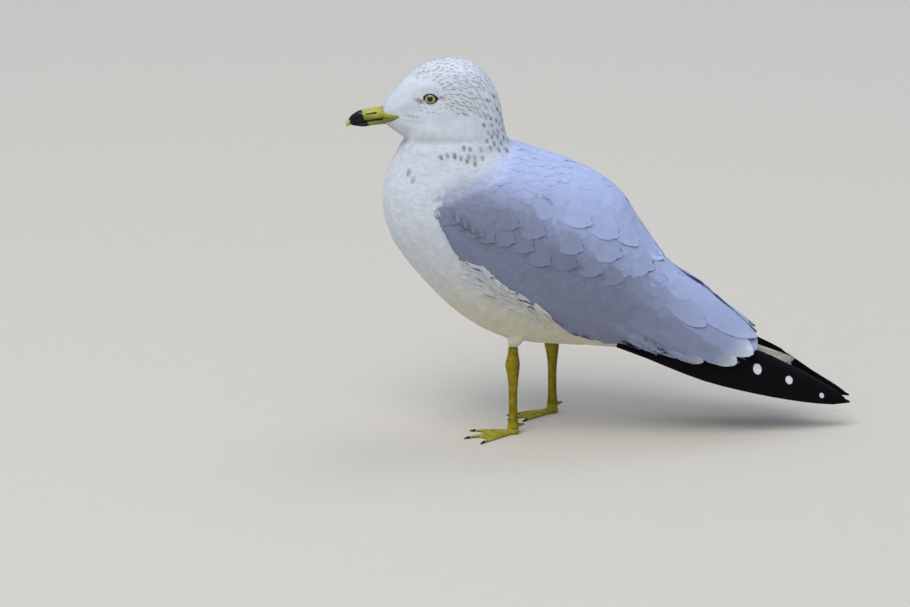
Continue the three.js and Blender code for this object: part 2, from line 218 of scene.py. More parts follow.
def remeshed(mesh: Mesh, voxel: float, smoothing: int) -> Mesh:
    """Rebuilds a mesh as one even skin.

    Args:
        mesh: The closed shells to join.
        voxel: The size of the new faces, in metres.
        smoothing: How many times the new skin is smoothed.

    Returns:
        The new mesh.
    """
    holder = linked("holder", mesh)
    remesh = holder.modifiers.new("remesh", "REMESH")
    remesh.mode = "VOXEL"
    remesh.voxel_size = voxel
    smooth = holder.modifiers.new("smooth", "SMOOTH")
    smooth.factor = 0.5
    smooth.iterations = smoothing
    graph = bpy.context.evaluated_depsgraph_get()
    made = bpy.data.meshes.new_from_object(holder.evaluated_get(graph))
    bpy.data.objects.remove(holder)
    return made


def placed(name: str, mesh: Mesh, material: Material, slot: str, *nodes: str) -> bpy.types.Object:
    """Makes a finished piece of a mesh, smooth-shaded, at the origin.

    Args:
        name: The piece's name.
        mesh: Its mesh.
        material: Its material.
        slot: The record's material slot; not used.
        nodes: The frame's nodes that it stands in for.

    Returns:
        The piece, which rides the bird's body.
    """
    mesh.name = name
    mesh.materials.append(material)
    mesh.shade_smooth()
    piece = linked(name, mesh)
    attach(piece, BODY)
    if nodes:
        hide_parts(*nodes)
    log.info("%s: %d faces", name, len(mesh.polygons))
    return piece


def coordinates(mesh: Mesh) -> Array:
    """Reads a mesh's vertices as an array."""
    found = np.empty(len(mesh.vertices) * 3)
    mesh.vertices.foreach_get("co", found)
    return found.reshape(-1, 3)


def vertex_normals(mesh: Mesh) -> Array:
    """Reads a mesh's vertex normals as an array."""
    found = np.empty(len(mesh.vertices) * 3)
    mesh.vertex_normals.foreach_get("vector", found)
    return found.reshape(-1, 3)


def move_vertices(mesh: Mesh, points: Array) -> None:
    """Writes an array of points back to a mesh's vertices."""
    mesh.vertices.foreach_set("co", points.ravel())
    mesh.update()


def soften_normals(mesh: Mesh, towards: Array, share: float) -> None:
    """Turns a mesh's shading normals towards those of the form beneath it.

    Args:
        mesh: The mesh.
        towards: The form's normal at each vertex.
        share: How far they turn, from 0 to 1.
    """
    blend = unit(mixed(vertex_normals(mesh), towards, share))
    mesh.normals_split_custom_set_from_vertices(blend.tolist())


def layered(colours: object, *layers: tuple[object, Array]) -> Array:
    """Lays colours over one another.

    Args:
        colours: The colours of the lowest layer.
        layers: Each higher layer's colour, and how strong it is at each place.

    Returns:
        The colour of each place.
    """
    for colour, share in layers:
        colours = mixed(colours, colour, share[:, None])
    return colours


def colour_vertices(mesh: Mesh, colours: Array) -> None:
    """Stores one colour for each vertex under the markings' name."""
    layer = mesh.color_attributes.new(name=MARKINGS, type="FLOAT_COLOR", domain="POINT")
    full = np.ones((len(colours), 4))
    full[:, :3] = colours
    layer.data.foreach_set("color", full.ravel())


# Places on the bird.


@dataclass(frozen=True)
class SideSheet:
    """A flat sheet beside the bird, leaning back, on which the wing's feathers are laid out.

    Its x runs from bill to tail and its h runs up the sheet, both in millimetres.
    """

    START = 0.3  # metres from the bird's middle, where the rays that lay feathers start

    side: Side

    @property
    def look(self) -> Array:
        """The direction square to the sheet, towards the bird."""
        return np.array([0.0, -self.side.value * math.cos(LOOK_DOWN), -math.sin(LOOK_DOWN)])

    @property
    def up(self) -> Array:
        """The direction of h."""
        return np.array([0.0, -self.side.value * math.sin(LOOK_DOWN), math.cos(LOOK_DOWN)])

    def point(self, x: Array, h: Array) -> Array:
        """The place in space, in metres, of a point on the sheet through the bird's middle."""
        across = np.array([1.0, 0.0, 0.0])
        return (np.asarray(x)[..., None] * across + np.asarray(h)[..., None] * self.up) * MM

    def cast(self, x: Array, h: Array, form: Form) -> tuple[Array, Array]:
        """Lays places on the sheet straight onto a form, and gives the normals there too."""
        return form.struck(self.point(x, h) - self.look * self.START, self.look)

    @staticmethod
    def read(points: Array) -> tuple[Array, Array]:
        """The x and h of places in space, each on its own side's sheet."""
        side = np.where(points[..., 1] > 0, 1.0, -1.0)
        h = points[..., 2] * math.cos(LOOK_DOWN) - side * points[..., 1] * math.sin(LOOK_DOWN)
        return points[..., 0] / MM, h / MM


class Form:
    """A closed surface that feathers are laid on, with smooth normals."""

    OVERHANG = 9.0 * MM  # how far a vane may stand out below the surface's edge
    FROM_MIDDLE = 1.5 * MM  # above the edge it turns in towards the bird's middle, up to here
    REACH = 250.0 * MM  # how deep a first ray that misses is taken to pass

    def __init__(self, mesh: Mesh, side: Side | None = None) -> None:
        """Reads the surface from a mesh, whole or only on one side of the bird's middle."""
        mesh.calc_loop_triangles()
        triangles = np.empty(len(mesh.loop_triangles) * 3, np.int32)
        mesh.loop_triangles.foreach_get("vertices", triangles)
        self.points = coordinates(mesh)
        self.normals = vertex_normals(mesh)
        self.triangles = triangles.reshape(-1, 3)
        if side is not None:
            across = self.points[self.triangles].mean(1)[:, 1]
            self.triangles = self.triangles[across * side.value > 0]
        self.tree = BVHTree.FromPolygons(self.points.tolist(), self.triangles.tolist())

    def _smooth_normals(self, places: Array, faces: Array) -> Array:
        """Blends the corner normals of each place's triangle."""
        corners = self.triangles[faces]
        a, b, c = (self.points[corners[:, k]] for k in range(3))
        whole = np.cross(b - a, c - a)
        size = np.maximum((whole * whole).sum(-1), 1e-30)
        share_b = (np.cross(places - a, c - a) * whole).sum(-1) / size
        share_c = (np.cross(b - a, places - a) * whole).sum(-1) / size
        shares = np.clip(np.stack([1 - share_b - share_c, share_b, share_c], -1), 0, 1)
        return unit((self.normals[corners] * shares[..., None]).sum(1))

    def near(self, points: Array) -> tuple[Array, Array]:
        """Drops points onto the surface.

        Args:
            points: Places near the surface, in any shape that ends in 3.

        Returns:
            The nearest places on the surface and the normals there, in the same shape.
        """
        flat = points.reshape(-1, 3)
        places = np.empty_like(flat)
        faces = np.empty(len(flat), np.int32)
        find = self.tree.find_nearest
        for i, point in enumerate(flat.tolist()):
            found = find(point)
            places[i] = found[0]
            faces[i] = found[2]
        normals = self._smooth_normals(places, faces)
        return places.reshape(points.shape), normals.reshape(points.shape)

    def _passed(self, start: Array, heading: Array, depth: float) -> tuple[Array, int]:
        """Finds where a ray that misses comes nearest to the surface.

        Args:
            start: Where the ray starts.
            heading: Its direction.
            depth: How far along it the surface is looked for.

        Returns:
            A place a little past the surface's edge, and the triangle beside it.
        """
        found = self.tree.find_nearest(start + heading * depth)
        nearest = np.array(found[0])
        over = start + heading * ((nearest - start) @ heading) - nearest
        past = max(np.linalg.norm(over), 1e-9)
        if over[2] > 0:
            room = max(abs(nearest[1]) - self.FROM_MIDDLE, 0.0)
            return nearest + np.array([0.0, np.sign(heading[1]) * min(past, room), 0.0]), found[2]
        return nearest + over * min(1.0, self.OVERHANG / past), found[2]

    def struck(self, starts: Array, heading: Array) -> tuple[Array, Array]:
        """Casts rays at the surface.

        Args:
            starts: Where the rays start, in any shape that ends in 3.
            heading: The direction that all of them take.

        Returns:
            Where they strike, or for a ray that misses where it passes nearest, and the normals there.
        """
        flat = starts.reshape(-1, 3)
        places = np.empty_like(flat)
        faces = np.empty(len(flat), np.int32)
        depth = self.REACH
        for i, start in enumerate(flat.tolist()):
            place, _, face, distance = self.tree.ray_cast(start, heading.tolist())
            if place is None:
                place, face = self._passed(flat[i], heading, depth)
            else:
                depth = distance
            places[i] = place
            faces[i] = face
        normals = self._smooth_normals(places, faces)
        return places.reshape(starts.shape), normals.reshape(starts.shape)

    def scattered(self, spacing: Callable[[Array], Array], seed: int) -> tuple[Array, Array]:
        """Spreads places over the surface, none nearer to another than its spacing.

        Args:
            spacing: Gives the wanted distance at each place, in metres, or 0 where none is wanted.
            seed: What the random draws start from.

        Returns:
            The places and their normals.
        """
        rng = np.random.default_rng(seed)
        a, b, c = (self.points[self.triangles[:, k]] for k in range(3))
        area = 0.5 * np.linalg.norm(np.cross(b - a, c - a), axis=-1)
        apart = spacing((a + b + c) / 3)
        weight = np.where(apart > 0, area / np.maximum(apart, 1e-6) ** 2, 0.0)
        count = int(weight.sum() * 6)
        chosen = rng.choice(len(area), count, p=weight / weight.sum())
        r, s = np.sqrt(rng.random(count)), rng.random(count)
        shares = np.stack([1 - r, r * (1 - s), r * s], -1)
        points = (np.stack([a, b, c], 1)[chosen] * shares[..., None]).sum(1)
        normals = unit((self.normals[self.triangles[chosen]] * shares[..., None]).sum(1))
        kept = thinned(points, range(count), spacing(points))
        return points[kept], normals[kept]


class Lie:
    """Which way the plumage lies: back from the bill, down the neck, and along the body."""

    SPINE = (
        (-184, 262), (-158, 271), (-131, 274), (-112, 262), (-108, 238), (-112, 210),
        (-98, 182), (-62, 158), (-10, 134), (50, 103), (105, 76), (170, 52),
    )
    SPINE_POINTS = 240
    BILL_ROOT = (-178.0, 0.0, 264.0)
    JOWL = 250.0  # height in mm of the fold where the head's feathers end over the neck
    NECK_TOP = 244.0  # height of the spine's first point that the neck follows
    FACE_END = (-146.0, -118.0)  # the face's fan of feathers gives way to the spine's lie here
    CHIN = (236.0, 250.0)  # below these heights it does so at once
    MARGIN = 0.02  # left free round the unwrap

    def __init__(self) -> None:
        """Draws the spine as a fine run of points."""
        flat = curve_through(self.SPINE, self.SPINE_POINTS) * MM
        self.path = np.stack([flat[:, 0], np.zeros(len(flat)), flat[:, 1]], -1)
        self.tangent = unit(np.gradient(self.path, axis=0))

    def along(self, points: Array) -> Array:
        """The share of the spine's length passed at each point, from 0 to 1."""
        gap = ((points[:, None, :] - self.path[None]) ** 2).sum(-1)
        first = np.flatnonzero(self.path[:, 2] > self.NECK_TOP * MM).max()
        gap[:, :first] += np.where(points[:, 2] < self.JOWL * MM, 1.0, 0.0)[:, None]
        return gap.argmin(1) / (len(self.path) - 1)

    def unwrapped(self, points: Array) -> Array:
        """Places on an unwrap of the body: how far along the spine, and the turn about it."""
        share = self.along(points)
        index = (share * (len(self.path) - 1)).astype(int)
        out = points - self.path[index]
        tangent = self.tangent[index]
        rise = np.stack([-tangent[:, 2], np.zeros(len(points)), tangent[:, 0]], -1)
        turn = np.arctan2(out[:, 1], (out * rise).sum(-1)) / (2 * math.pi) + 0.5
        return self.MARGIN + (1 - 2 * self.MARGIN) * np.stack([share, turn], -1)

    def direction(self, points: Array, normals: Array) -> Array:
        """The way from root to tip of a feather at each point, lying in the surface."""
        index = (self.along(points) * (len(self.path) - 1)).astype(int)
        spine = self.tangent[index]
        fan = unit(points - np.array(self.BILL_ROOT) * MM)
        share = smoothstep(self.FACE_END[0], self.FACE_END[1], points[:, 0] / MM)[:, None]
        high = smoothstep(*self.CHIN, points[:, 2] / MM)[:, None]
        return flattened(mixed(fan, spine, 1 - (1 - share) * high), normals)


# Colours of the plumage.


@dataclass(frozen=True)
class Patch:
    """A rounded patch of the bird, seen from the side."""

    centre: Pair  # x and height in mm
    reach: Pair  # its half length and half height
    lean: float  # degrees, tail end down

    def spread(self, x: Array, h: Array) -> tuple[Array, Array]:
        """How far each place is along and across the patch, as shares of its reach."""
        turn = math.radians(self.lean)
        dx, dh = x - self.centre[0], h - self.centre[1]
        along = (dx * math.cos(turn) - dh * math.sin(turn)) / self.reach[0]
        across = (dx * math.sin(turn) + dh * math.cos(turn)) / self.reach[1]
        return along, across


@dataclass(frozen=True)
class MarkPatch(Patch):
    """A patch of the head or neck, on the side sheet, where dark feathers are strewn."""

    share: float  # how many of its feathers are dark, at its middle
    depth: float  # how dark they are

    def weight(self, x: Array, h: Array) -> Array:
        """How much the patch covers each place, from 0 to 1."""
        return 1 - smoothstep(0.55, 1.0, np.hypot(*self.spread(x, h)))


@dataclass(frozen=True)
class Dent(Patch):
    """A soft hollow or swelling of the head, the same on both sides."""

    rise: float  # mm outwards, or inwards if negative

    def height(self, x: Array, z: Array) -> Array:
        """How far each place is pushed outwards, in mm."""
        along, across = self.spread(x, z)
        return self.rise * np.exp(-(along**2) - across**2)


@dataclass(frozen=True)
class PlumagePattern:
    """The colours of the plumage by place, which skin and feathers share."""

    white: Triple = (0.69, 0.72, 0.75)
    # The belly's warm colour is painted bounce light from the floor, with a little painted shade.
    belly: Triple = (0.68, 0.635, 0.48)
    grey: Triple = (0.42, 0.48, 0.70)
    # Grey in painted shade, for the lower wing; the grey above is as lit over the back.
    painted_shade_grey: Triple = (0.225, 0.245, 0.335)
    black: Triple = (0.0035, 0.003, 0.004)
    brown: Triple = (0.13, 0.095, 0.085)
    dusk: Triple = (0.20, 0.17, 0.17)
    streaks: tuple[MarkPatch, ...] = (
        MarkPatch((-124, 290), (42, 17), 8, 0.9, 0.8),
        MarkPatch((-117, 268), (24, 14), 10, 1.0, 0.8),
        MarkPatch((-98, 274), (20, 22), 40, 0.5, 0.7),
        MarkPatch((-143, 260.5), (13, 6.5), 10, 0.9, 0.55),
    )
    smudges: tuple[MarkPatch, ...] = (
        MarkPatch((-148.0, 266.0), (5.0, 2.4), 28, 0.8, 1.0),
        MarkPatch((-154.5, 253.4), (11, 1.3), 8, 0.4, 1.0),
        MarkPatch((-130, 268.2), (5, 1.8), -5, 0.6, 1.0),
    )
    spots: tuple[MarkPatch, ...] = (
        MarkPatch((-87, 252), (14, 28), -8, 0.9, 0.9),
        MarkPatch((-106, 226), (13, 11), 30, 1.0, 0.75),
        MarkPatch((-127, 226), (12, 7), 0, 0.5, 0.8),
        MarkPatch((-152, 213), (4, 7), 0, 0.5, 0.8),
    )

    bounce_light_heights: Pair = (165.0, 85.0)  # mm over which the white warms to the belly's, painted warm bounce light from the floor
    # The scapulars' lower border on the side sheet, x and h in mm, and how dark the painted shadow under it
    # is.
    border: tuple[Pair, ...] = (
        (-128, 178), (-126, 174), (-118, 164.6), (-105, 160), (-92, 149), (-70, 149), (-57.5, 138.6),
        (-42, 129), (-28, 133), (1, 124), (22, 118), (40, 116), (60, 112),
    )
    border_painted_shadow: float = 0.16
    wing_slope: float = 0.62  # mm that lines of one grey fall for each mm back
    wing_middle: float = -70.0  # x in mm where wing_height is the height on the side sheet
    painted_shade_heights: Pair = (206.0, 156.0)  # wing heights over which painted shade darkens the grey

    def white_at(self, points: Array) -> Array:
        """The white of each place: cool above and a little warmer under the belly, where warm bounce light
        from the floor is painted.
        """
        return mixed(self.white, self.belly, smoothstep(*self.bounce_light_heights, points[:, 2] / MM)[:, None])

    def wing_height(self, points: Array) -> Array:
        """How high on the wing each place is, in mm, along lines that slope as its rows do."""
        x, h = SideSheet.read(points)
        return h + self.wing_slope * (x - self.wing_middle)

    def grey_at(self, points: Array) -> Array:
        """The grey of each place: palest over the back and deepest in the lower coverts, darkened there by
        painted shade, with a painted shadow under the scapulars' border.
        """
        x, h = SideSheet.read(points)
        under = np.interp(x, *zip(*self.border)) - h
        # Painted shadow in a band just under the scapulars' border.
        shade = self.border_painted_shadow * smoothstep(-1.0, 0.5, under) * smoothstep(10.0, 1.0, under)
        # Painted shade that deepens the grey low on the wing.
        low = smoothstep(*self.painted_shade_heights, self.wing_height(points))[:, None]
        return mixed(self.grey, self.painted_shade_grey, low) * (1 - shade)[:, None]


class PlumageMap:
    """Where the plumage is grey and where it is white, read from the frame's nodes."""

    SHARP = 0.5  # mm of fade where the wing's edge is crisp
    SOFT = 13.0  # mm of fade where the neck melts into the back
    NAPE = (192.0, 222.0)  # heights in mm where one gives way to the other
    NAPE_LEAD = 0.6  # how far the grey runs up the nape, in fades

    def __init__(self, wings: Form, rest: Form, pattern: PlumagePattern) -> None:
        """Takes the form of the grey nodes and of the white ones."""
        self.wings = wings
        self.rest = rest
        self.pattern = pattern

    def grey_share(self, points: Array) -> Array:
        """How grey each place is, from 0 for white to 1 for grey."""
        soft = smoothstep(*self.NAPE, points[:, 2] / MM)
        fade = mixed(self.SHARP, self.SOFT, soft) * MM
        return smoothstep(-1.0, 1.0, self.lead(points) / fade + soft * self.NAPE_LEAD)

    def lead(self, points: Array) -> Array:
        """How much nearer each place is to the grey nodes than to the white ones, in metres."""
        to_grey = np.linalg.norm(self.wings.near(points)[0] - points, axis=-1)
        return np.linalg.norm(self.rest.near(points)[0] - points, axis=-1) - to_grey

    def ground(self, points: Array, share: Array | None = None) -> Array:
        """The colour of the plumage at each place, with its painted shade and warm bounce light, without
        its dark marks.
        """
        grey = (self.grey_share(points) if share is None else share)[:, None]
        x, h = SideSheet.read(points)
        dusk = np.max([patch.share * patch.weight(x, h) for patch in self.pattern.smudges], axis=0)
        white = mixed(self.pattern.white_at(points), self.pattern.dusk, dusk[:, None])
        return mixed(white, self.pattern.grey_at(points), grey)


# Finishes.


class Nodes:
    """A short way to write a material's nodes."""

    def __init__(self, name: str) -> None:
        """Starts a material that holds one Principled shader."""
        self.material = bpy.data.materials.new(name)
        self.material.use_nodes = True
        self.tree = self.material.node_tree
        self.shader = next(n for n in self.tree.nodes if n.type == "BSDF_PRINCIPLED")

    def add(self, kind: str, inputs: dict | None = None, **settings: object) -> bpy.types.Node:
        """Adds a node.

        Args:
            kind: The node's type, without ShaderNode before it.
            inputs: Values or sockets for its inputs, by name or number.
            settings: Values for the node's own properties.

        Returns:
            The node.
        """
        node = self.tree.nodes.new("ShaderNode" + kind)
        for key, value in settings.items():
            setattr(node, key, value)
        for key, value in (inputs or {}).items():
            self.feed(node.inputs[key], value)
        return node

    def feed(self, socket: Socket, value: object) -> None:
        """Links a socket or sets a value."""
        if isinstance(value, Socket):
            self.tree.links.new(value, socket)
        else:
            socket.default_value = value

    def math(self, operation: str, *values: object) -> Socket:
        """Adds a Math node and returns its result."""
        node = self.add("Math", operation=operation)
        for socket, value in zip(node.inputs, values):
            self.feed(socket, value)
        return node.outputs[0]

    def ramp(self, value: object, low: float, high: float, to: Pair) -> Socket:
        """Maps low to high onto another range, eased and clamped."""
        node = self.add(
            "MapRange",
            {"Value": value, "From Min": low, "From Max": high, "To Min": to[0], "To Max": to[1]},
            interpolation_type="SMOOTHSTEP",
        )
        return node.outputs[0]

    def mix(self, factor: object, first: object, second: object, blend: str = "MIX") -> Socket:
        """Mixes two colours and returns the result."""
        node = self.add("Mix", data_type="RGBA", blend_type=blend)
        self.feed(node.inputs[0], factor)
        self.feed(node.inputs[6], first)
        self.feed(node.inputs[7], second)
        return node.outputs[2]

    def noise(self, vector: object, scale: float, detail: float = 3.0, rough: float = 0.6) -> Socket:
        """Adds a noise texture and returns its factor."""
        values = {"Vector": vector, "Scale": scale, "Detail": detail, "Roughness": rough}
        return self.add("TexNoise", values).outputs[0]

    def bump(self, height: object, strength: float, distance: float) -> Socket:
        """Adds a bump, its distance in mm, and returns its normal."""
        values = {"Height": height, "Strength": strength, "Distance": distance * MM}
        return self.add("Bump", values).outputs[0]

    def place(self) -> Socket:
        """Returns the place in the object's own coordinates."""
        return self.add("TexCoord").outputs["Object"]

    def markings(self) -> Socket:
        """Returns the colour stored under the markings' name."""
        return self.add("VertexColor", layer_name=MARKINGS).outputs[0]

    def toned(self, colour: object, tone: object) -> Socket:
        """Multiplies a colour by a brightness."""
        grey = self.add("CombineXYZ", {0: tone, 1: tone, 2: tone}).outputs[0]
        return self.mix(1.0, colour, grey, "MULTIPLY")

    def surface(self, **values: object) -> Material:
        """Feeds the shader by its sockets' names, with _ for a space, and returns the material."""
        for key, value in values.items():
            self.feed(self.shader.inputs[key.replace("_", " ")], value)
        return self.material


@dataclass(frozen=True)
class FeatherFinish:
    """Barbed vanes whose colour is in the markings."""

    name: str
    roughness: float = 0.62
    sheen: float = 0.2
    specular: float = 0.3
    streakiness: float = 0.10  # how much the barbs vary in brightness
    barb_bump: float = 0.35
    shaft: float = 0.0  # how much darker the shaft is
    mottle: float = 0.05
    spots: tuple[Patch, ...] = ()  # white spots on the side sheet
    spot_white: tuple[float, float, float, float] = (0.75, 0.76, 0.78, 1.0)

    def _spotted(self, n: Nodes, colour: object) -> object:
        """Paints white spots at their places on the side sheets of both sides."""
        place = n.add("SeparateXYZ", {0: n.place()})
        out = n.math("MULTIPLY", n.math("ABSOLUTE", place.outputs[1]), math.sin(LOOK_DOWN) / MM)
        h = n.math("SUBTRACT", n.math("MULTIPLY", place.outputs[2], math.cos(LOOK_DOWN) / MM), out)
        x = n.math("MULTIPLY", place.outputs[0], 1 / MM)
        ragged = n.math("MULTIPLY", n.noise(n.place(), 700.0, 2.0, 0.5), 0.5)
        for spot in self.spots:
            turn = math.radians(spot.lean)
            dx, dh = n.math("SUBTRACT", x, spot.centre[0]), n.math("SUBTRACT", h, spot.centre[1])
            reach = ragged
            for size, angle in zip(spot.reach, (turn, turn - math.pi / 2)):
                by_x = n.math("MULTIPLY", dx, math.cos(angle) / size)
                off = n.math("SUBTRACT", by_x, n.math("MULTIPLY", dh, math.sin(angle) / size))
                reach = n.math("ADD", reach, n.math("MULTIPLY", off, off))
            colour = n.mix(n.ramp(reach, 1.1, 1.4, (1.0, 0.0)), colour, self.spot_white)
        return colour

    def material(self) -> Material:
        """Makes the feather material: barbs slant from the shaft, finely ribbed and unevenly bright."""
        n = Nodes(self.name)
        vane = n.add("SeparateXYZ", {0: n.add("UVMap", uv_map=VANE_MAP).outputs[0]})
        across, along = vane.outputs[0], vane.outputs[1]
        off_shaft = n.math("ABSOLUTE", across)
        barb = n.math("SUBTRACT", along, n.math("MULTIPLY", off_shaft, 0.85))
        layers = []
        for fineness, spread, detail, rough in ((1.5, 0.16, 3.0, 0.6), (5.0, 0.3, 1.0, 0.5)):
            stretched = {0: n.math("MULTIPLY", barb, fineness), 1: n.math("MULTIPLY", across, spread)}
            layers.append(n.noise(n.add("CombineXYZ", stretched).outputs[0], 1.0, detail, rough))
        clump, rib = layers
        body = n.noise(n.place(), 160.0, 2.0, 0.5)
        bright = n.ramp(clump, 0.3, 0.7, (1 - self.streakiness, 1 + self.streakiness * 0.6))
        bright = n.math("MULTIPLY", bright, n.ramp(body, 0.3, 0.7, (1 - self.mottle, 1 + self.mottle)))
        if self.shaft:
            bright = n.math("MULTIPLY", bright, n.ramp(off_shaft, 0.10, 0.32, (1 - self.shaft, 1.0)))
        height = n.math("ADD", n.math("MULTIPLY", clump, 0.6), n.math("MULTIPLY", rib, 0.5))
        return n.surface(
            Base_Color=n.toned(self._spotted(n, n.markings()), bright),
            Roughness=n.ramp(clump, 0.2, 0.8, (self.roughness - 0.07, self.roughness + 0.07)),
            Sheen_Weight=self.sheen,
            Sheen_Roughness=0.5,
            Specular_IOR_Level=self.specular,
            Normal=n.bump(height, self.barb_bump, 0.25),
        )


@dataclass(frozen=True)
class SkinFinish:
    """Down over skin, under the feathers."""

    name: str = "down"

    def material(self) -> Material:
        """Makes a soft, matt material in the markings' colours."""
        n = Nodes(self.name)
        fluff = n.noise(n.place(), 900.0)
        return n.surface(
            Base_Color=n.toned(n.markings(), n.ramp(fluff, 0.3, 0.7, (0.86, 1.02))),
            Roughness=0.85,
            Sheen_Weight=0.2,
            Specular_IOR_Level=0.25,
            Normal=n.bump(fluff, 0.4, 0.3),
        )


@dataclass(frozen=True)
class HornFinish:
    """The satin horn of bill and claws, coloured by the markings."""

    name: str
    roughness: float = 0.33
    grain: float = 0.12

    def material(self) -> Material:
        """Makes the horn: faint streaks along the bill, small pits and worn patches."""
        n = Nodes(self.name)
        drawn = n.add("Mapping", {"Vector": n.place(), "Scale": (220.0, 700.0, 900.0)}).outputs[0]
        grain = n.noise(drawn, 1.0)
        pits = n.noise(n.place(), 2600.0, 2.0, 0.5)
        height = n.math("ADD", n.math("MULTIPLY", grain, 0.7), n.math("MULTIPLY", pits, 0.3))
        tone = n.ramp(grain, 0.3, 0.7, (1 - self.grain, 1 + self.grain * 0.5))
        return n.surface(
            Base_Color=n.toned(n.markings(), tone),
            Roughness=n.ramp(grain, 0.2, 0.8, (self.roughness - 0.06, self.roughness + 0.12)),
            Specular_IOR_Level=0.25,
            Coat_Weight=0.03,
            Coat_Roughness=0.25,
            Normal=n.bump(height, 0.25, 0.15),
        )


@dataclass(frozen=True)
class LegFinish:
    """Scaly leg skin, coloured by the markings."""

    name: str = "leg_scales"
    scales: float = 780.0  # how many there are in a metre

    def material(self) -> Material:
        """Makes small rounded scales with darker seams between them."""
        n = Nodes(self.name)
        cells = n.add(
            "TexVoronoi", {"Vector": n.place(), "Scale": self.scales}, feature="DISTANCE_TO_EDGE"
        )
        grime = n.noise(n.place(), 240.0, 4.0)
        seam = n.ramp(cells.outputs[0], 0.0, 0.12, (0.0, 1.0))
        worn = n.ramp(grime, 0.3, 0.75, (1.12, 0.62))
        return n.surface(
            Base_Color=n.toned(
                n.markings(), n.math("MULTIPLY", n.ramp(seam, 0.0, 1.0, (0.72, 1.0)), worn)
            ),
            Roughness=n.ramp(grime, 0.3, 0.7, (0.42, 0.6)),
            Specular_IOR_Level=0.25,
            Normal=n.bump(seam, 0.5, 0.2),
        )


@dataclass(frozen=True)
class EyeFinish:
    """A wet eye: black pupil, yellow iris with fine rays, dark rim, all coloured by the markings."""

    name: str = "eye_surface"

    def material(self) -> Material:
        """Makes the eye glossy over its markings."""
        n = Nodes(self.name)
        tone = n.ramp(n.noise(n.place(), 2400.0), 0.3, 0.7, (0.8, 1.1))
        return n.surface(
            Base_Color=n.toned(n.markings(), tone),
            Roughness=0.2,
            Specular_IOR_Level=0.3,
            Coat_Weight=0.6,
            Coat_Roughness=0.02,
        )


@dataclass(frozen=True)
class LidFinish:
    """The dark bare skin round the eye."""

    name: str = "lid_skin"
    dark: tuple[float, float, float, float] = (0.012, 0.010, 0.011, 1.0)
    worn: tuple[float, float, float, float] = (0.035, 0.028, 0.028, 1.0)

    def material(self) -> Material:
        """Makes a dark, finely wrinkled skin."""
        n = Nodes(self.name)
        wrinkle = n.noise(n.place(), 3000.0)
        return n.surface(
            Base_Color=n.mix(wrinkle, self.dark, self.worn),
            Roughness=0.45,
            Specular_IOR_Level=0.4,
            Normal=n.bump(wrinkle, 0.4, 0.1),
        )


@dataclass(frozen=True)
class FloorFinish:
    """The plain pale floor."""

    name: str = "pale_floor"
    colour: Triple = (0.62, 0.56, 0.46)
    grain: float = 0.04  # how much darker it is in places

    def material(self) -> Material:
        """Makes a matt floor with a very faint grain."""
        n = Nodes(self.name)
        darker = (*(c * (1 - self.grain) for c in self.colour), 1.0)
        colour = n.mix(n.noise(n.place(), 60.0, 4.0), darker, (*self.colour, 1.0))
        return n.surface(Base_Color=colour, Roughness=0.9, Specular_IOR_Level=0.2)


# Feathers.


@dataclass(frozen=True)
class Cut:
    """How one kind of feather is cut and how it lies on the form beneath it."""

    rows: tuple[float, ...] = (0.0, 0.3, 0.6, 0.84, 1.0)
    columns: tuple[float, ...] = (-1.0, -0.5, 0.0, 0.5, 1.0)
    root_width: float = 0.5  # shares of the full width
    tip_width: float = 0.5
    widest: float = 0.55
    rounding: float = 0.3  # how far the tip's corners fall back, in half widths
    root_lift: float = -1.0  # mm above the form
    tip_lift: float = 0.3
    camber: float = 0.15  # mm that the shaft stands over the edges
    tilt: float = 0.06  # mm that the lower edge is raised
    ragged: float = 0.08  # how unevenly the barbs end, as a share of the length
    hook: float = 5.0  # how late along the vane its sides fall back
    rise: float = 1.5  # how late along the vane it climbs over the feathers beneath
    draped: bool = True  # each vertex follows the form, or only the shaft does
    fringe: float = 0.0  # how much brighter the edges are
    shadow: float = 0.12  # how much darker the root is, for its own darker base and for painted shade under the feathers over it
    vary: float = 0.02  # how unlike in brightness the feathers are
    blend: float = 0.7  # how far the shading follows the form beneath

    def profile(self) -> Array:
        """The width at each row as a share of the widest."""
        u = np.array(self.rows)
        swell = self.root_width + (1 - self.root_width) * smoothstep(0.0, self.widest, u)
        past = np.clip((u - self.widest) / (1 - self.widest), 0, 1)
        taper = np.sqrt(1 - past**2 * (1 - self.tip_width**2))
        return swell * taper


@dataclass
class Feathers:
    """A set of feathers: their shafts on the form, widths, colours and marks."""

    shaft: Array  # (count, rows, 3)
    normal: Array  # (count, rows, 3)
    width: Array  # (count,)
    ground: Array  # (count, 3), or (count, 2, 3) for root and tip
    mark: Array | None = None  # (count, 3)
    mark_share: Array | None = None  # (count,)
    raised: Array | None = None  # (count,) mm on top of the cut's lift
    flat: Array | None = None  # (count, rows, 2) the shaft on the side sheet, in metres


class Mask(Enum):
    """Where on a vane its mark is."""

    NONE = 0
    STREAK = 1
    SPOT = 2
    TIP = 3

    def weight(self, u: Array, v: Array) -> Array:
        """The mark's strength at u along the vane and v across it."""
        if self is Mask.STREAK:
            return smoothstep(0.7, 0.15, np.abs(v)) * smoothstep(0.2, 0.5, u)
        if self is Mask.SPOT:
            return smoothstep(1.0, 0.5, np.abs(v)) * smoothstep(0.4, 0.65, u)
        if self is Mask.TIP:
            return smoothstep(0.86, 0.95, u + 0 * v)
        return np.zeros(np.broadcast(u, v).shape)


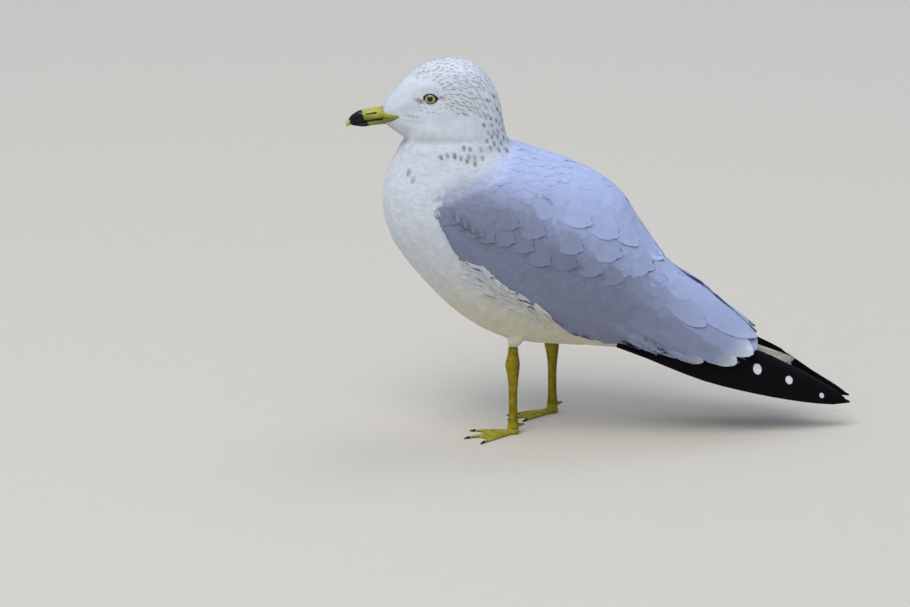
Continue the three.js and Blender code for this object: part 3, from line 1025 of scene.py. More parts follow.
class Plumage:
    """Turns sets of feathers into joined meshes."""

    BAKE_PATCH = 0.003
    ATLAS_MARGIN = 0.06

    def __init__(self, lie: Lie) -> None:
        """Takes the lie, whose unwrap places each feather's patch."""
        self.lie = lie

    def build(
        self,
        name: str,
        form: Form,
        feathers: Feathers,
        cut: Cut,
        material: Material,
        slot: str,
        mask: Mask = Mask.NONE,
        seed: int = 1,
        atlas: bool = False,
        nodes: Sequence[str] = (),
    ) -> None:
        """Builds one piece of plumage.

        Args:
            name: The piece's name.
            form: The surface that the vanes follow.
            feathers: The feathers.
            cut: How they are cut.
            material: Their material.
            slot: The record's material slot.
            mask: Where on a vane its mark is.
            seed: What the random draws start from.
            atlas: Whether each vane has its own large cell in the bake map.
            nodes: The frame's nodes that the piece stands in for.
        """
        rng = np.random.default_rng(seed)
        count = len(feathers.width)
        u = np.array(cut.rows)
        v = np.array(cut.columns)
        rows, columns = len(u), len(v)
        heading = unit(np.gradient(feathers.shaft, axis=1))
        across = unit(np.cross(feathers.normal, heading))
        half = 0.5 * feathers.width[:, None] * cut.profile()[None]
        reach = np.linalg.norm(feathers.shaft[:, -1] - feathers.shaft[:, 0], axis=-1)
        fall = cut.rounding * half.max(1)[:, None] * (v**2)[None]
        fall = fall + cut.ragged * reach[:, None] * rng.random((count, columns)) * (1 - v**2)[None]
        sweep = -fall[:, None] * (u**cut.hook)[None, :, None]
        side = np.where(feathers.shaft[:, 0, 1] > 0, 1.0, -1.0)
        if feathers.flat is not None:
            points, normals = self._laid(form, feathers.flat, half, v, sweep, Side(int(side[0])))
        else:
            points = (
                feathers.shaft[:, :, None]
                + across[:, :, None] * (half[:, :, None] * v[None, None])[..., None]
                + heading[:, :, None] * sweep[..., None]
            )
            normals = np.broadcast_to(feathers.normal[:, :, None], points.shape)
            if cut.draped:
                points, normals = form.near(points)
        lift = cut.root_lift + (cut.tip_lift - cut.root_lift) * u
        lift = lift[None, :, None] + cut.camber * (1 - v**2)[None, None]
        lift = lift + cut.tilt * side[:, None, None] * v[None, None] * u[None, :, None]
        if feathers.raised is not None:
            lift = lift + feathers.raised[:, None, None] * (u**cut.rise)[None, :, None]
        points = points + normals * (lift * MM)[..., None]
        colours = self._colours(feathers, cut, mask, u, v, rng)
        mesh = self._mesh(points, count, rows, columns)
        mesh.shade_smooth()
        soften_normals(mesh, np.asarray(normals).reshape(-1, 3), cut.blend)
        colour_vertices(mesh, colours.reshape(-1, 3))
        self._maps(mesh, feathers, u, v, half, reach, atlas, rng)
        placed(name, mesh, material, slot, *nodes)

    @staticmethod
    def _laid(
        form: Form, flat: Array, half: Array, v: Array, sweep: Array, side: Side
    ) -> tuple[Array, Array]:
        """Cuts vanes out on the side sheet and lays them straight onto the form.

        Args:
            form: The surface.
            flat: The shafts' x and h on the sheet, in metres.
            half: The half widths at the rows.
            v: The columns.
            sweep: How far each place is moved along the shaft.
            side: The side of the bird.

        Returns:
            The vanes' places and the normals there.
        """
        run = unit(np.gradient(flat, axis=1))
        aside = np.stack([-run[..., 1], run[..., 0]], -1)
        offset = half[:, :, None] * v[None, None] * -side.value
        grid = flat[:, :, None] + aside[:, :, None] * offset[..., None] + run[:, :, None] * sweep[..., None]
        return SideSheet(side).cast(grid[..., 0] / MM, grid[..., 1] / MM, form)

    @staticmethod
    def _colours(
        feathers: Feathers, cut: Cut, mask: Mask, u: Array, v: Array, rng: np.random.Generator
    ) -> Array:
        """Colours every vertex: ground, a root darker for its own base and by painted shade, brighter
        fringe, and the mark.
        """
        count = len(feathers.width)
        uu, vv = u[:, None], v[None]
        vary = 1 + cut.vary * rng.standard_normal(count)
        # The root is darker for its own darker base and for painted shade under the feathers over it.
        tone = 1 - cut.shadow * smoothstep(0.75, 0.1, uu + 0 * vv)
        edge = np.maximum(smoothstep(0.8, 1.0, np.abs(vv) + 0 * uu), smoothstep(0.93, 1.0, uu + 0 * vv))
        tone = tone * (1 + cut.fringe * edge)
        if feathers.ground.ndim == 3:
            first, last = feathers.ground[:, :1, None], feathers.ground[:, 1:, None]
            ground = first + (last - first) * u[None, :, None, None]
        else:
            ground = feathers.ground[:, None, None]
        colours = ground * (vary[:, None, None] * tone[None])[..., None]
        if feathers.mark is not None and feathers.mark_share is not None:
            weight = mask.weight(uu, vv)[None] * feathers.mark_share[:, None, None]
            colours = colours * (1 - weight[..., None]) + feathers.mark[:, None, None] * weight[..., None]
        return np.clip(colours, 0, 1)

    @staticmethod
    def _mesh(points: Array, count: int, rows: int, columns: int) -> Mesh:
        """Joins the vanes' grids of points into one mesh of quads."""
        r, c = np.meshgrid(np.arange(rows - 1), np.arange(columns - 1), indexing="ij")
        corner = (r * columns + c).ravel()
        quad = np.stack([corner, corner + columns, corner + columns + 1, corner + 1], -1)
        faces = (quad[None] + (np.arange(count) * rows * columns)[:, None, None]).reshape(-1)
        mesh = bpy.data.meshes.new("vanes")
        mesh.vertices.add(points.size // 3)
        mesh.vertices.foreach_set("co", points.ravel())
        mesh.loops.add(len(faces))
        mesh.loops.foreach_set("vertex_index", faces.astype(np.int32))
        mesh.polygons.add(len(faces) // 4)
        mesh.polygons.foreach_set("loop_start", np.arange(0, len(faces), 4, dtype=np.int32))
        mesh.update(calc_edges=True)
        return mesh

    def _maps(
        self,
        mesh: Mesh,
        feathers: Feathers,
        u: Array,
        v: Array,
        half: Array,
        reach: Array,
        atlas: bool,
        rng: np.random.Generator,
    ) -> None:
        """Adds the vane map, in millimetres on the feather, and the bake map."""
        count, rows, columns = len(feathers.width), len(u), len(v)
        loops = np.empty(len(mesh.loops), np.int32)
        mesh.loops.foreach_get("vertex_index", loops)
        wide = half[:, :, None] * v[None, None] / MM
        long = (reach[:, None, None] * u[None, :, None]) / MM + 1000 * rng.random((count, 1, 1))
        vane = np.stack([wide, np.broadcast_to(long, wide.shape)], -1).reshape(-1, 2)
        grid_v = np.broadcast_to(v[None, None], (count, rows, columns))
        grid_u = np.broadcast_to(u[None, :, None], (count, rows, columns))
        if atlas:
            cells = math.ceil(math.sqrt(count))
            index = np.arange(count)
            corner = np.stack([index % cells, index // cells], -1) / cells
            room = 1 - 2 * self.ATLAS_MARGIN
            local = np.stack([grid_v * 0.5 + 0.5, grid_u], -1) * room + self.ATLAS_MARGIN
            bake = corner[:, None, None] + local / cells
        else:
            root = self.lie.unwrapped(feathers.shaft[:, 0])
            local = np.stack([grid_v * 0.5, grid_u], -1) * self.BAKE_PATCH
            bake = root[:, None, None] + local
        for name, places in ((BAKE_MAP, bake.reshape(-1, 2)), (VANE_MAP, vane)):
            layer = mesh.uv_layers.new(name=name)
            layer.uv.foreach_set("vector", places[loops].ravel())


# Sub-assemblies.


@dataclass
class Flesh:
    """The guide form of the whole plumage, and the skin beneath it."""

    voxel: float = 1.7 * MM
    smoothing: int = 7
    face_depth: float = 0.32  # mm from the coat's outside to the skin
    body_depth: float = 0.46
    wing_depth: float = 0.65
    dents: tuple[Dent, ...] = (
        Dent((-138.8, 287), (8, 6.5), 0, -1.5),  # the hollow that the eye sits in
        Dent((-140, 297), (13, 4), -6, 0.7),  # brow
        Dent((-156, 276), (12, 4), -18, -0.9),  # from the bill's root to the eye
        Dent((-138, 262), (20, 5.5), -2, 0.9),  # cheek
        Dent((-134, 252), (30, 3.2), -3, -1.5),  # where the head folds over the neck
        Dent((-155, 267.5), (10, 1.3), 4, -0.5),  # crease behind the mouth's corner
    )
    socket: Dent = Dent((-139.8, 288.6), (5.2, 3.7), 0, -2.6)  # the skin's own pit under the lids
    cheeks: Pair = (4.0, 14.0)  # mm from the middle where the dents set in
    nodes: tuple[str, ...] = (
        "head", "neck", "trunk", "thigh_left", "thigh_right", "wing_left", "wing_right",
    )

    def build(self, frame: dict, pattern: PlumagePattern) -> None:
        """Makes the guide forms and the skin.

        Args:
            frame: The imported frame.
            pattern: The plumage's colours.
        """
        found = frame["nodes"]
        wings = {side: found[f"wing_{side.word}"] for side in Side}
        flesh = [found[name] for name in self.nodes]
        white = [node for node in flesh if node not in wings.values()]
        self.map = PlumageMap(Form(joined_copy(list(wings.values()))), Form(joined_copy(white)), pattern)
        solid = [*flesh, found["eye_left"], found["eye_right"]]
        guide = self._remade([*solid, found["tail"]])
        self._shape(guide)
        self.guide = Form(guide)
        self.sides = {side: Form(guide, side) for side in Side}
        self.wing_sides = {side: Form(self._remade([wing])) for side, wing in wings.items()}
        skin = self._remade(solid)
        self._shape(skin)
        self._shrink(skin)
        colour_vertices(skin, self.map.ground(coordinates(skin)))
        placed("skin", skin, SkinFinish().material(), "white_plumage", *self.nodes)

    def _remade(self, nodes: Sequence[bpy.types.Object]) -> Mesh:
        """Joins nodes into one smooth skin."""
        return remeshed(joined_copy(nodes), self.voxel, self.smoothing)

    def _shape(self, mesh: Mesh) -> None:
        """Presses the head's hollows and swellings into a mesh."""
        points = coordinates(mesh)
        x, z = points[:, 0] / MM, points[:, 2] / MM
        cheek = smoothstep(*self.cheeks, np.abs(points[:, 1]) / MM)
        rise = sum(dent.height(x, z) for dent in self.dents)
        push = vertex_normals(mesh) * (rise * cheek * MM)[:, None]
        move_vertices(mesh, points + push)

    def _shrink(self, mesh: Mesh) -> None:
        """Draws the skin in by the coat's depth."""
        points = coordinates(mesh)
        x, z = points[:, 0] / MM, points[:, 2] / MM
        body = 1 - smoothstep(225.0, 262.0, z) * smoothstep(-60.0, -90.0, x)
        depth = self.face_depth + (self.body_depth - self.face_depth) * body
        depth = mixed(depth, self.wing_depth, smoothstep(-30.0, 60.0, x))
        depth = depth - self.socket.height(x, z) * (np.abs(points[:, 1]) > 8 * MM)
        move_vertices(mesh, points - vertex_normals(mesh) * (depth * MM)[:, None])


@dataclass
class Eyes:
    """Both eyes: a wet ball with iris and pupil, and the dark lids round it."""

    centre: Triple = (-138.8, 17.9, 287.3)
    radius: float = 5.6
    forward: float = 10.0  # degrees that the eye looks ahead of square
    upward: float = 13.0
    iris: float = 4.3  # mm from the axis
    pupil: float = 2.35
    bulge: float = 0.35  # mm that the cornea stands out
    opening: Pair = (4.6, 3.4)  # half length and half height of the opening
    rim: Pair = (5.6, 4.5)
    corner: float = 0.2  # how much the rim is drawn out at its corners
    stages: tuple[Pair, ...] = (  # the lids' rings: share of the way to the rim, and rise
        (0.0, -0.4), (0.15, 0.35), (0.45, 0.55), (0.8, 0.45), (1.0, -0.1),
    )
    bare_ahead: float = 0.8  # mm more left bare in front, which the vanes there grow over
    steps: int = 64
    yellow: Triple = (0.52, 0.47, 0.09)
    ring: Triple = (0.22, 0.17, 0.03)
    dark: Triple = (0.004, 0.004, 0.005)

    def axes(self, side: Side) -> tuple[Array, Array, Array]:
        """The eye's outward axis, its forward direction and its upward direction."""
        ahead, up = math.radians(self.forward), math.radians(self.upward)
        across = side.value * math.cos(ahead) * math.cos(up)
        out = np.array([-math.sin(ahead) * math.cos(up), across, math.sin(up)])
        front = flattened(np.array([-1.0, 0.0, 0.0]), out)
        return out, front, flattened(np.array([0.0, 0.0, 1.0]), out)

    def middle(self, side: Side) -> Array:
        """The ball's centre in metres."""
        return np.array([self.centre[0], side.value * self.centre[1], self.centre[2]]) * MM

    def reach(self, points: Array, side: Side) -> Array:
        """How many rims away from the eye's axis each point is."""
        out, front, up = self.axes(side)
        off = (points - self.middle(side)) / MM
        ahead = (off @ front - self.bare_ahead) / (self.rim[0] + 0.5 + self.bare_ahead)
        apart = np.hypot(ahead, off @ up / (self.rim[1] - 0.1))
        return np.where(off @ out > 0, apart, 99.0)

    def build(self, guide: Form) -> None:
        """Makes both eyes and their lids."""
        gloss, lid = EyeFinish().material(), LidFinish().material()
        for side in Side:
            self._ball(side, gloss)
            self._lids(side, guide, lid)

    def _ball(self, side: Side, material: Material) -> None:
        """Makes the ball, with the cornea swelling over the iris."""
        out, front, _ = self.axes(side)
        bm = bmesh.new()
        bmesh.ops.create_uvsphere(bm, u_segments=96, v_segments=80, radius=self.radius * MM)
        mesh = meshed(bm)
        local = coordinates(mesh)
        off_axis = np.hypot(local[:, 0], local[:, 1]) / MM
        before = local[:, 2] > 0
        swell = self.bulge * np.clip(1 - (off_axis / (self.iris + 0.6)) ** 2, 0, 1) * before
        local[:, 2] += swell * MM
        turned = local @ np.stack([front, np.cross(out, front), out])
        move_vertices(mesh, turned + self.middle(side))
        angle = np.arctan2(local[:, 1], local[:, 0])
        colour_vertices(mesh, self._rings(off_axis, angle, turned[:, 2] / MM, before))
        placed(f"eyeball_{side.word}", mesh, material, "eye", f"eye_{side.word}")

    def _rings(self, off_axis: Array, angle: Array, height: Array, before: Array) -> Array:
        """Colours the ball by rings.

        Args:
            off_axis: How far each place is from the eye's axis, in mm.
            angle: The turn about the axis.
            height: How far it is above the ball's centre, in mm.
            before: Whether it is on the ball's front half.

        Returns:
            The rayed iris with a painted shadow under the upper lid, and the dark pupil, rim and back.
        """
        rays = 0.5 + 0.3 * np.sin(angle * 23) * np.sin(angle * 7 + 1) + 0.2 * np.sin(angle * 41)
        # The top of the iris is darkened by a painted shadow of the lid and brow.
        shade = (0.8 + 0.35 * rays) * (1 - 0.45 * smoothstep(1.4, 3.0, height))
        back = np.maximum(smoothstep(self.iris - 0.05, self.iris + 0.2, off_axis), 1.0 - before)
        return layered(
            np.array(self.yellow) * shade[:, None],
            (self.ring, 0.45 * smoothstep(self.pupil + 0.7, self.pupil + 0.15, off_axis)),
            (self.ring, smoothstep(self.iris - 0.7, self.iris - 0.1, off_axis)),
            (self.dark, smoothstep(self.pupil + 0.12, self.pupil - 0.12, off_axis)),
            (self.dark, back),
        )

    def _lids(self, side: Side, guide: Form, material: Material) -> None:
        """Makes the lids: rings drawn out from the opening on the ball to the rim on the face."""
        out, front, up = self.axes(side)
        centre = self.middle(side)
        radius = self.radius * MM
        angle = np.linspace(0, 2 * math.pi, self.steps, endpoint=False)
        pull = np.abs(np.cos(angle)) ** 6 * self.corner
        rings = []
        for share, height in self.stages:
            wide, tall = mixed(self.opening, self.rim, share)
            ahead = front[None] * (np.cos(angle) * wide * (1 + pull * share))[:, None]
            spread = (ahead + up[None] * (np.sin(angle) * tall)[:, None]) * MM
            on_face, normal = guide.near(centre + spread + out * radius)
            off = np.linalg.norm(spread, axis=-1)
            reach = np.sqrt(np.maximum(radius**2 - off**2, (0.8 * MM) ** 2))
            on_ball = centre + spread + out * reach[:, None]
            lid = mixed(on_ball, on_face, smoothstep(0.05, 0.95, share))
            rings.append(lid + (out + normal) * 0.5 * height * MM)
        bm = bmesh.new()
        bmesh.ops.create_circle(bm, segments=self.steps, radius=1.0)
        loops = [list(bm.verts)]
        for _ in self.stages[1:]:
            edges = [e for e in bm.edges if all(v in set(loops[-1]) for v in e.verts)]
            grown = bmesh.ops.extrude_edge_only(bm, edges=edges)["geom"]
            fresh = {v for v in grown if isinstance(v, bmesh.types.BMVert)}
            others = [[e.other_vert(v) for e in v.link_edges] for v in loops[-1]]
            loops.append([next(v for v in near if v in fresh) for near in others])
        for verts, ring in zip(loops, rings):
            for vert, place in zip(verts, ring):
                vert.co = place
        bmesh.ops.recalc_face_normals(bm, faces=bm.faces)
        mesh = meshed(bm)
        if (vertex_normals(mesh) @ out).mean() < 0:
            mesh.flip_normals()
        piece = placed(f"lids_{side.word}", mesh, material, "leg")
        smooth = piece.modifiers.new("round", "SUBSURF")
        smooth.levels = smooth.render_levels = 1


class Half(Enum):
    """A half of the bill, by the sign of its place about the mouth."""

    UPPER = 1
    LOWER = -1


@dataclass
class Bill:
    """The two halves of the bill, with nostrils, cutting edges and a dark band."""

    voxel: float = 0.28 * MM
    yellow: Triple = (0.44, 0.41, 0.05)
    olive: Triple = (0.22, 0.235, 0.04)
    tip_yellow: Triple = (0.52, 0.48, 0.10)
    black: Triple = (0.004, 0.004, 0.007)
    band_upper: Pair = (-206.2, -194.0)  # x where the dark band starts and ends, in mm
    band_lower: Pair = (-205.0, -192.0)
    nostril: tuple[float, float, float, float] = (-192.5, 269.6, -184.5, 271.2)  # its two ends, x and z
    nostril_depth: float = 0.9
    groove: Pair = (0.5, 0.12)  # width and depth in mm of the one over the cutting edge
    gape_root: Pair = (-178.6, 267.2)  # x and z where the horn runs on into the face
    gape_end: Pair = (-164.5, 271.6)
    gape_half: float = 5.2  # mm, half the height of the horn there
    beads: int = 26

    def build(self, frame: dict, guide: Form) -> None:
        """Makes both halves from smooth copies of their nodes.

        Args:
            frame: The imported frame.
            guide: The face that the horn runs on into.
        """
        material = HornFinish("bill_horn").material()
        for half in Half:
            node = frame["nodes"][f"bill_{half.name.lower()}"]
            whole = joined_copy([node])
            self._add_gape(whole, half, guide)
            mesh = remeshed(whole, self.voxel, 10)
            points = coordinates(mesh)
            nostril = self._nostril(points)
            if half is Half.UPPER:
                sunk = nostril * self.nostril_depth + self._cutting_edge(points) * self.groove[1]
                points = points - vertex_normals(mesh) * (sunk * MM)[:, None]
                move_vertices(mesh, points)
            colour_vertices(mesh, self._colours(points, half, nostril))
            placed(f"{node.name}_horn", mesh, material, "bill", node.name)

    def _add_gape(self, mesh: Mesh, half: Half, guide: Form) -> None:
        """Adds the horn that tapers back along the face to the corner of the mouth."""
        share = np.linspace(0, 1, self.beads)
        size = self.gape_half * (1 - share) ** 0.8 * 0.5 + 0.3
        x = self.gape_root[0] + (self.gape_end[0] - self.gape_root[0]) * share
        z = self.gape_root[1] + (self.gape_end[1] - self.gape_root[1]) * share + size * 0.85 * half.value
        bm = bmesh.new()
        bm.from_mesh(mesh)
        for side in Side:
            for bead_x, bead_z, radius in zip(x, z, size):
                start = Vector((bead_x, side.value * 200.0, bead_z)) * MM
                place, normal, _, _ = guide.tree.ray_cast(start, Vector((0.0, -side.value, 0.0)))
                if place is None:
                    continue
                bead = bmesh.ops.create_icosphere(bm, subdivisions=2, radius=radius * MM)["verts"]
                bmesh.ops.translate(bm, verts=bead, vec=place - normal * 0.5 * radius * MM)
        bm.to_mesh(mesh)
        bm.free()

    def _nostril(self, points: Array) -> Array:
        """How deep in the nostril's slit each place is, from 0 to 1."""
        start = np.array(self.nostril[:2])
        end = np.array(self.nostril[2:])
        flat = points[:, (0, 2)] / MM
        share = np.clip(((flat - start) @ (end - start)) / ((end - start) @ (end - start)), 0, 1)
        off = np.linalg.norm(flat - start - share[:, None] * (end - start), axis=-1)
        edge = 0.45 + 0.5 * share
        return (1 - smoothstep(0.4, 1.0, off / edge)) * (np.abs(points[:, 1]) > 1.2 * MM)

    def _cutting_edge(self, points: Array) -> Array:
        """A faint groove that runs a little above the cutting edge."""
        x, z = points[:, 0] / MM, points[:, 2] / MM
        line = 265.6 + 0.10 * (x + 180)
        return np.exp(-(((z - line) / self.groove[0]) ** 2))

    def _colours(self, points: Array, half: Half, nostril: Array) -> Array:
        """Colours a half: yellow over olive, the dark band with a ragged edge, and the pale tip."""
        x, z = points[:, 0] / MM, points[:, 2] / MM
        if half is Half.UPPER:
            pale = smoothstep(266.5, 270.5, z + 0.1 * (x + 190))
            start, end = self.band_upper
        else:
            pale = smoothstep(262.5, 260.0, z + 0.05 * (x + 190))
            start, end = self.band_lower
        wavy = x + 0.5 * np.sin(z * 1.9 + x * 0.3) + 0.3 * np.sin(z * 4.3 + 2)
        lean = 0.35 * (z - 266)
        band = smoothstep(start - 0.7, start + 0.5, wavy + lean * 0.4)
        band = band * smoothstep(end + 0.9, end - 0.9, wavy + lean)
        root = 1 - 0.18 * smoothstep(-186.0, -178.0, x)[:, None]
        return layered(
            mixed(self.olive, self.yellow, pale[:, None]) * root,
            (self.tip_yellow, smoothstep(start + 1.2, start - 0.6, x)),
            (self.black, band),
            (self.black, nostril),
        )


@dataclass
class Legs:
    """Both legs: scaled skin over shank and foot, and the claws."""

    voxel: float = 0.5 * MM
    claw_voxel: float = 0.22 * MM
    olive: Triple = (0.36, 0.28, 0.002)
    # Painted shade for the leg's back, turned from the lamps.
    shade: Triple = (0.15, 0.11, 0.002)
    web: Triple = (0.42, 0.36, 0.015)
    claw: Triple = (0.014, 0.012, 0.010)
    plate_pitch: float = 2.3  # mm between the plates down the front of the shank
    plate_depth: float = 0.22
    toe_pitch: float = 1.9  # mm between the plates along the toes
    toe_depth: float = 0.16
    hind_toe: Pair = (2.6, 1.15)  # mm, its radius at the heel and at the claw

    def build(self, frame: dict) -> None:
        """Makes each leg from a smooth copy of its nodes, and each foot's claws."""
        scales, horn = LegFinish().material(), HornFinish("claw_horn", 0.38).material()
        nodes = frame["nodes"]
        for side in Side:
            names = [f"shank_{side.word}", f"foot_{side.word}"]
            claws = [f"claw_{side.word}_{toe}" for toe in ("inner", "middle", "outer", "hind")]
            whole = joined_copy([nodes[n] for n in names])
            self._add_hind_toe(whole, nodes[claws[-1]])
            mesh = remeshed(whole, self.voxel, 5)
            self._plates(mesh, nodes[names[0]])
            placed(f"leg_{side.word}", mesh, scales, "leg", *names)
            mesh = remeshed(joined_copy([nodes[n] for n in claws]), self.claw_voxel, 4)
            colour_vertices(mesh, np.tile(np.array(self.claw), (len(mesh.vertices), 1)))
            placed(f"claws_{side.word}", mesh, horn, "claw", *claws)

    def _add_hind_toe(self, mesh: Mesh, claw: bpy.types.Object) -> None:
        """Adds the short toe that runs back from the heel to the hind claw."""
        points = coordinates(mesh)
        low = points[(points[:, 2] > 6 * MM) & (points[:, 2] < 9 * MM)]
        tip = Vector(coordinates(claw.data).mean(0))
        start = Vector((*low[:, :2].min(0) * 0.5 + low[:, :2].max(0) * 0.5, tip.z - 1.0 * MM))
        run = tip - start
        turn = run.to_track_quat("Z", "Y").to_matrix().to_4x4()
        bm = bmesh.new()
        bm.from_mesh(mesh)
        bmesh.ops.create_cone(
            bm, cap_ends=True, segments=24, radius1=self.hind_toe[0] * MM, radius2=self.hind_toe[1] * MM,
            depth=run.length, matrix=Matrix.Translation((start + tip) / 2) @ turn,
        )
        bm.to_mesh(mesh)
        bm.free()

    def _plates(self, mesh: Mesh, shank: bpy.types.Object) -> None:
        """Presses plates into the shank's front and the toes' tops, and colours the leg, with painted shade
        on its back and underneath.
        """
        points = coordinates(mesh)
        normals = vertex_normals(mesh)
        z = points[:, 2] / MM
        ahead = smoothstep(0.0, 0.6, -normals[:, 0])
        seam = np.abs(np.sin(z * math.pi / self.plate_pitch)) ** 0.5
        upright = smoothstep(9.0, 14.0, z) * smoothstep(74.0, 70.0, z)
        middle = coordinates(shank.data).mean(0)
        ankle = np.hypot(points[:, 0] - middle[0], points[:, 1] - middle[1]) / MM
        toe_seam = np.abs(np.sin(ankle * math.pi / self.toe_pitch)) ** 0.5
        toe = smoothstep(7.0, 4.0, z) * smoothstep(0.2, 0.7, normals[:, 2])
        press = self.plate_depth * (1 - seam) * ahead * upright + self.toe_depth * (1 - toe_seam) * toe
        move_vertices(mesh, points - normals * (press * MM)[:, None])
        # Painted shade on the back, turned from the lamps, and on the undersides; the pressed grooves are
        # darker as well.
        behind = smoothstep(-0.2, 0.8, normals[:, 0]) * 0.75
        colours = layered(self.olive, (self.shade, behind), (self.web, smoothstep(9.0, 5.0, z)))
        dark = (1 - 0.45 * press / self.plate_depth) * (1 - 0.5 * smoothstep(-0.3, -0.8, normals[:, 2]))
        colour_vertices(mesh, colours * dark[:, None])


@dataclass
class Coat:
    """The small feathers, from the face to the undertail, spread over the whole form."""

    flesh: Flesh
    lie: Lie
    eyes: Eyes
    # How far along the spine, and the vane length in mm there, for white and for grey feathers.
    white_lengths: tuple[Pair, ...] = (
        (0.0, 2.6), (0.06, 3.2), (0.12, 4.4), (0.22, 5.4), (0.30, 7.0), (0.38, 9.0),
        (0.50, 12.0), (0.62, 14.0), (0.80, 16.0), (1.0, 18.0),
    )
    grey_lengths: tuple[Pair, ...] = (
        (0.0, 14.0), (0.38, 16.0), (0.46, 23.0), (0.55, 29.0), (1.0, 30.0),
    )
    spacing: float = 0.25  # of the length
    slimness: float = 0.72  # width as a share of the length
    marked_shape: Pair = (1.2, 0.46)  # how much longer marked vanes are, and their slimness
    eye_clear: float = 1.0  # how far out from the eye, in rims, the vanes start
    streaks_apart: float = 2.7 * MM
    spots_apart: float = 4.6 * MM
    flank_turn: float = 26.0  # degrees that the flank's feathers turn up over the wing's edge
    flank_reach: float = 9.0  # mm below the wing's edge where they do
    grey_end: float = 58.0  # x in mm past which the wing has only large feathers
    white_end: float = 122.0
    seed: int = 11
    plain: Cut = Cut(
        rows=(0.0, 0.45, 0.8, 1.0), columns=(-1.0, -0.4, 0.4, 1.0), tip_width=0.3, rounding=0.1,
        root_lift=-0.26, tip_lift=0.07, camber=0.04, tilt=0.0, ragged=0.07, shadow=0.0, vary=0.012,
    )
    marked: Cut = Cut(
        rows=(0.0, 0.35, 0.6, 0.8, 0.92, 1.0), columns=(-1.0, -0.6, -0.3, 0.0, 0.3, 0.6, 1.0),
        tip_width=0.2, rounding=0.1, root_lift=-0.1, tip_lift=0.22, camber=0.05, tilt=0.0, ragged=0.05,
        shadow=0.0, vary=0.012,
    )
    body: Cut = Cut(
        rows=(0.0, 0.35, 0.65, 0.86, 1.0), tip_width=0.25, rounding=0.1, widest=0.5, root_lift=-0.36,
        tip_lift=0.07, camber=0.04, tilt=0.01, ragged=0.08, shadow=0.0, vary=0.01, blend=0.85,
    )
    back: Cut = Cut(
        rows=(0.0, 0.3, 0.55, 0.75, 0.88, 0.96, 1.0), columns=(-1.0, -0.88, -0.45, 0.0, 0.45, 0.88, 1.0),
        root_lift=-0.4, tip_lift=0.14, camber=0.08, tilt=0.03, ragged=0.01, rounding=0.05, tip_width=0.15,
        widest=0.5, fringe=0.03, shadow=0.03, vary=0.012, blend=0.6,
    )

    def _from_eye(self, points: Array) -> Array:
        """How many rims away from the nearer eye each place is."""
        return np.min([self.eyes.reach(points, side) for side in Side], axis=0)

    def _length(self, points: Array) -> Array:
        """How long the vanes are at each place, in metres."""
        x, z = points[:, 0] / MM, points[:, 2] / MM
        colours = self.flesh.map
        along = self.lie.along(points)
        grey = colours.grey_share(points)
        low = smoothstep(176.0, 132.0, colours.pattern.wing_height(points))
        size = np.interp(along, *zip(*self.white_lengths)) * (1 - grey)
        size = size + np.interp(along, *zip(*self.grey_lengths)) * grey * (1 - 0.25 * low)
        leg = smoothstep(97.0, 88.0, z) * smoothstep(-15.0, -25.0, x)
        inner = smoothstep(0.0, 12.0, colours.lead(points) / MM)
        front = grey * smoothstep(205.0, 190.0, z) * smoothstep(10.0, -10.0, x)
        size = size * (1 - 0.55 * leg) * (1 - 0.6 * front * (1 - inner))
        return size * (0.5 + 0.5 * smoothstep(1.0, 2.6, self._from_eye(points))) * MM

    def _apart(self, points: Array) -> Array:
        """How far apart the roots are at each place, in metres, or 0 where none grow."""
        grey = self.flesh.map.grey_share(points) > 0.5
        end = np.where(grey, self.grey_end * MM, self.white_end * MM)
        bare = (self._from_eye(points) < self.eye_clear) | (points[:, 0] > end)
        return np.where(bare, 0.0, self._length(points) * self.spacing)

    def _heading(self, roots: Array, normals: Array, white: Array, rng: np.random.Generator) -> Array:
        """The way each vane points: as the plumage lies, but turned up beside the wing's edge."""
        heading = self.lie.direction(roots, normals)
        edge = np.linalg.norm(self.flesh.map.wings.near(roots)[0] - roots, axis=-1) / MM
        flank = white & (edge < self.flank_reach) & (roots[:, 2] < 185 * MM) & (roots[:, 0] < 20 * MM)
        side = np.where(roots[:, 1] > 0, 1.0, -1.0)
        swing = rng.standard_normal(len(roots)) * math.radians(6)
        swing = swing + flank * side * math.radians(self.flank_turn * 0.5)
        swung = heading * np.cos(swing)[:, None] + np.cross(normals, heading) * np.sin(swing)[:, None]
        return unit(swung)

    def build(self, plumage: Plumage, pattern: PlumagePattern) -> None:
        """Spreads the feathers and makes one piece of each zone."""
        guide, colours = self.flesh.guide, self.flesh.map
        roots, normals = guide.scattered(self._apart, self.seed)
        rng = np.random.default_rng(self.seed + 1)
        sizes = self._length(roots) * (1 + 0.10 * rng.standard_normal(len(roots)))
        share = colours.grey_share(roots)
        white = share < 0.5
        heading = self._heading(roots, normals, white, rng)
        reach = roots + heading * sizes[:, None]
        tips, tip_normals = guide.near(reach)
        flat = (np.linalg.norm(tips - reach, axis=-1) < 0.4 * sizes) | (roots[:, 0] < -20 * MM)
        flat &= (normals * tip_normals).sum(-1) > 0.5
        high = roots[:, 2] > 180 * MM
        first = colours.ground(roots, np.where(high, share, np.round(share)))
        last = colours.ground(tips, np.where(high, colours.grey_share(tips), np.round(share)))
        ground = np.stack([first, last], 1)
        streak = self._marks(roots, pattern.streaks, self.streaks_apart, white, rng)
        spot = self._marks(roots, pattern.spots, self.spots_apart, white, rng)
        along = self.lie.along(roots)
        soft = FeatherFinish("white_feather").material()
        smooth = FeatherFinish(
            "grey_feather", sheen=0.05, specular=0.2, streakiness=0.05, mottle=0.03
        ).material()

        def calm(start: float, end: float) -> Array:
            """Which unmarked white feathers root between two shares of the spine."""
            return white & (streak + spot < 0.02) & (along >= start) & (along < end)

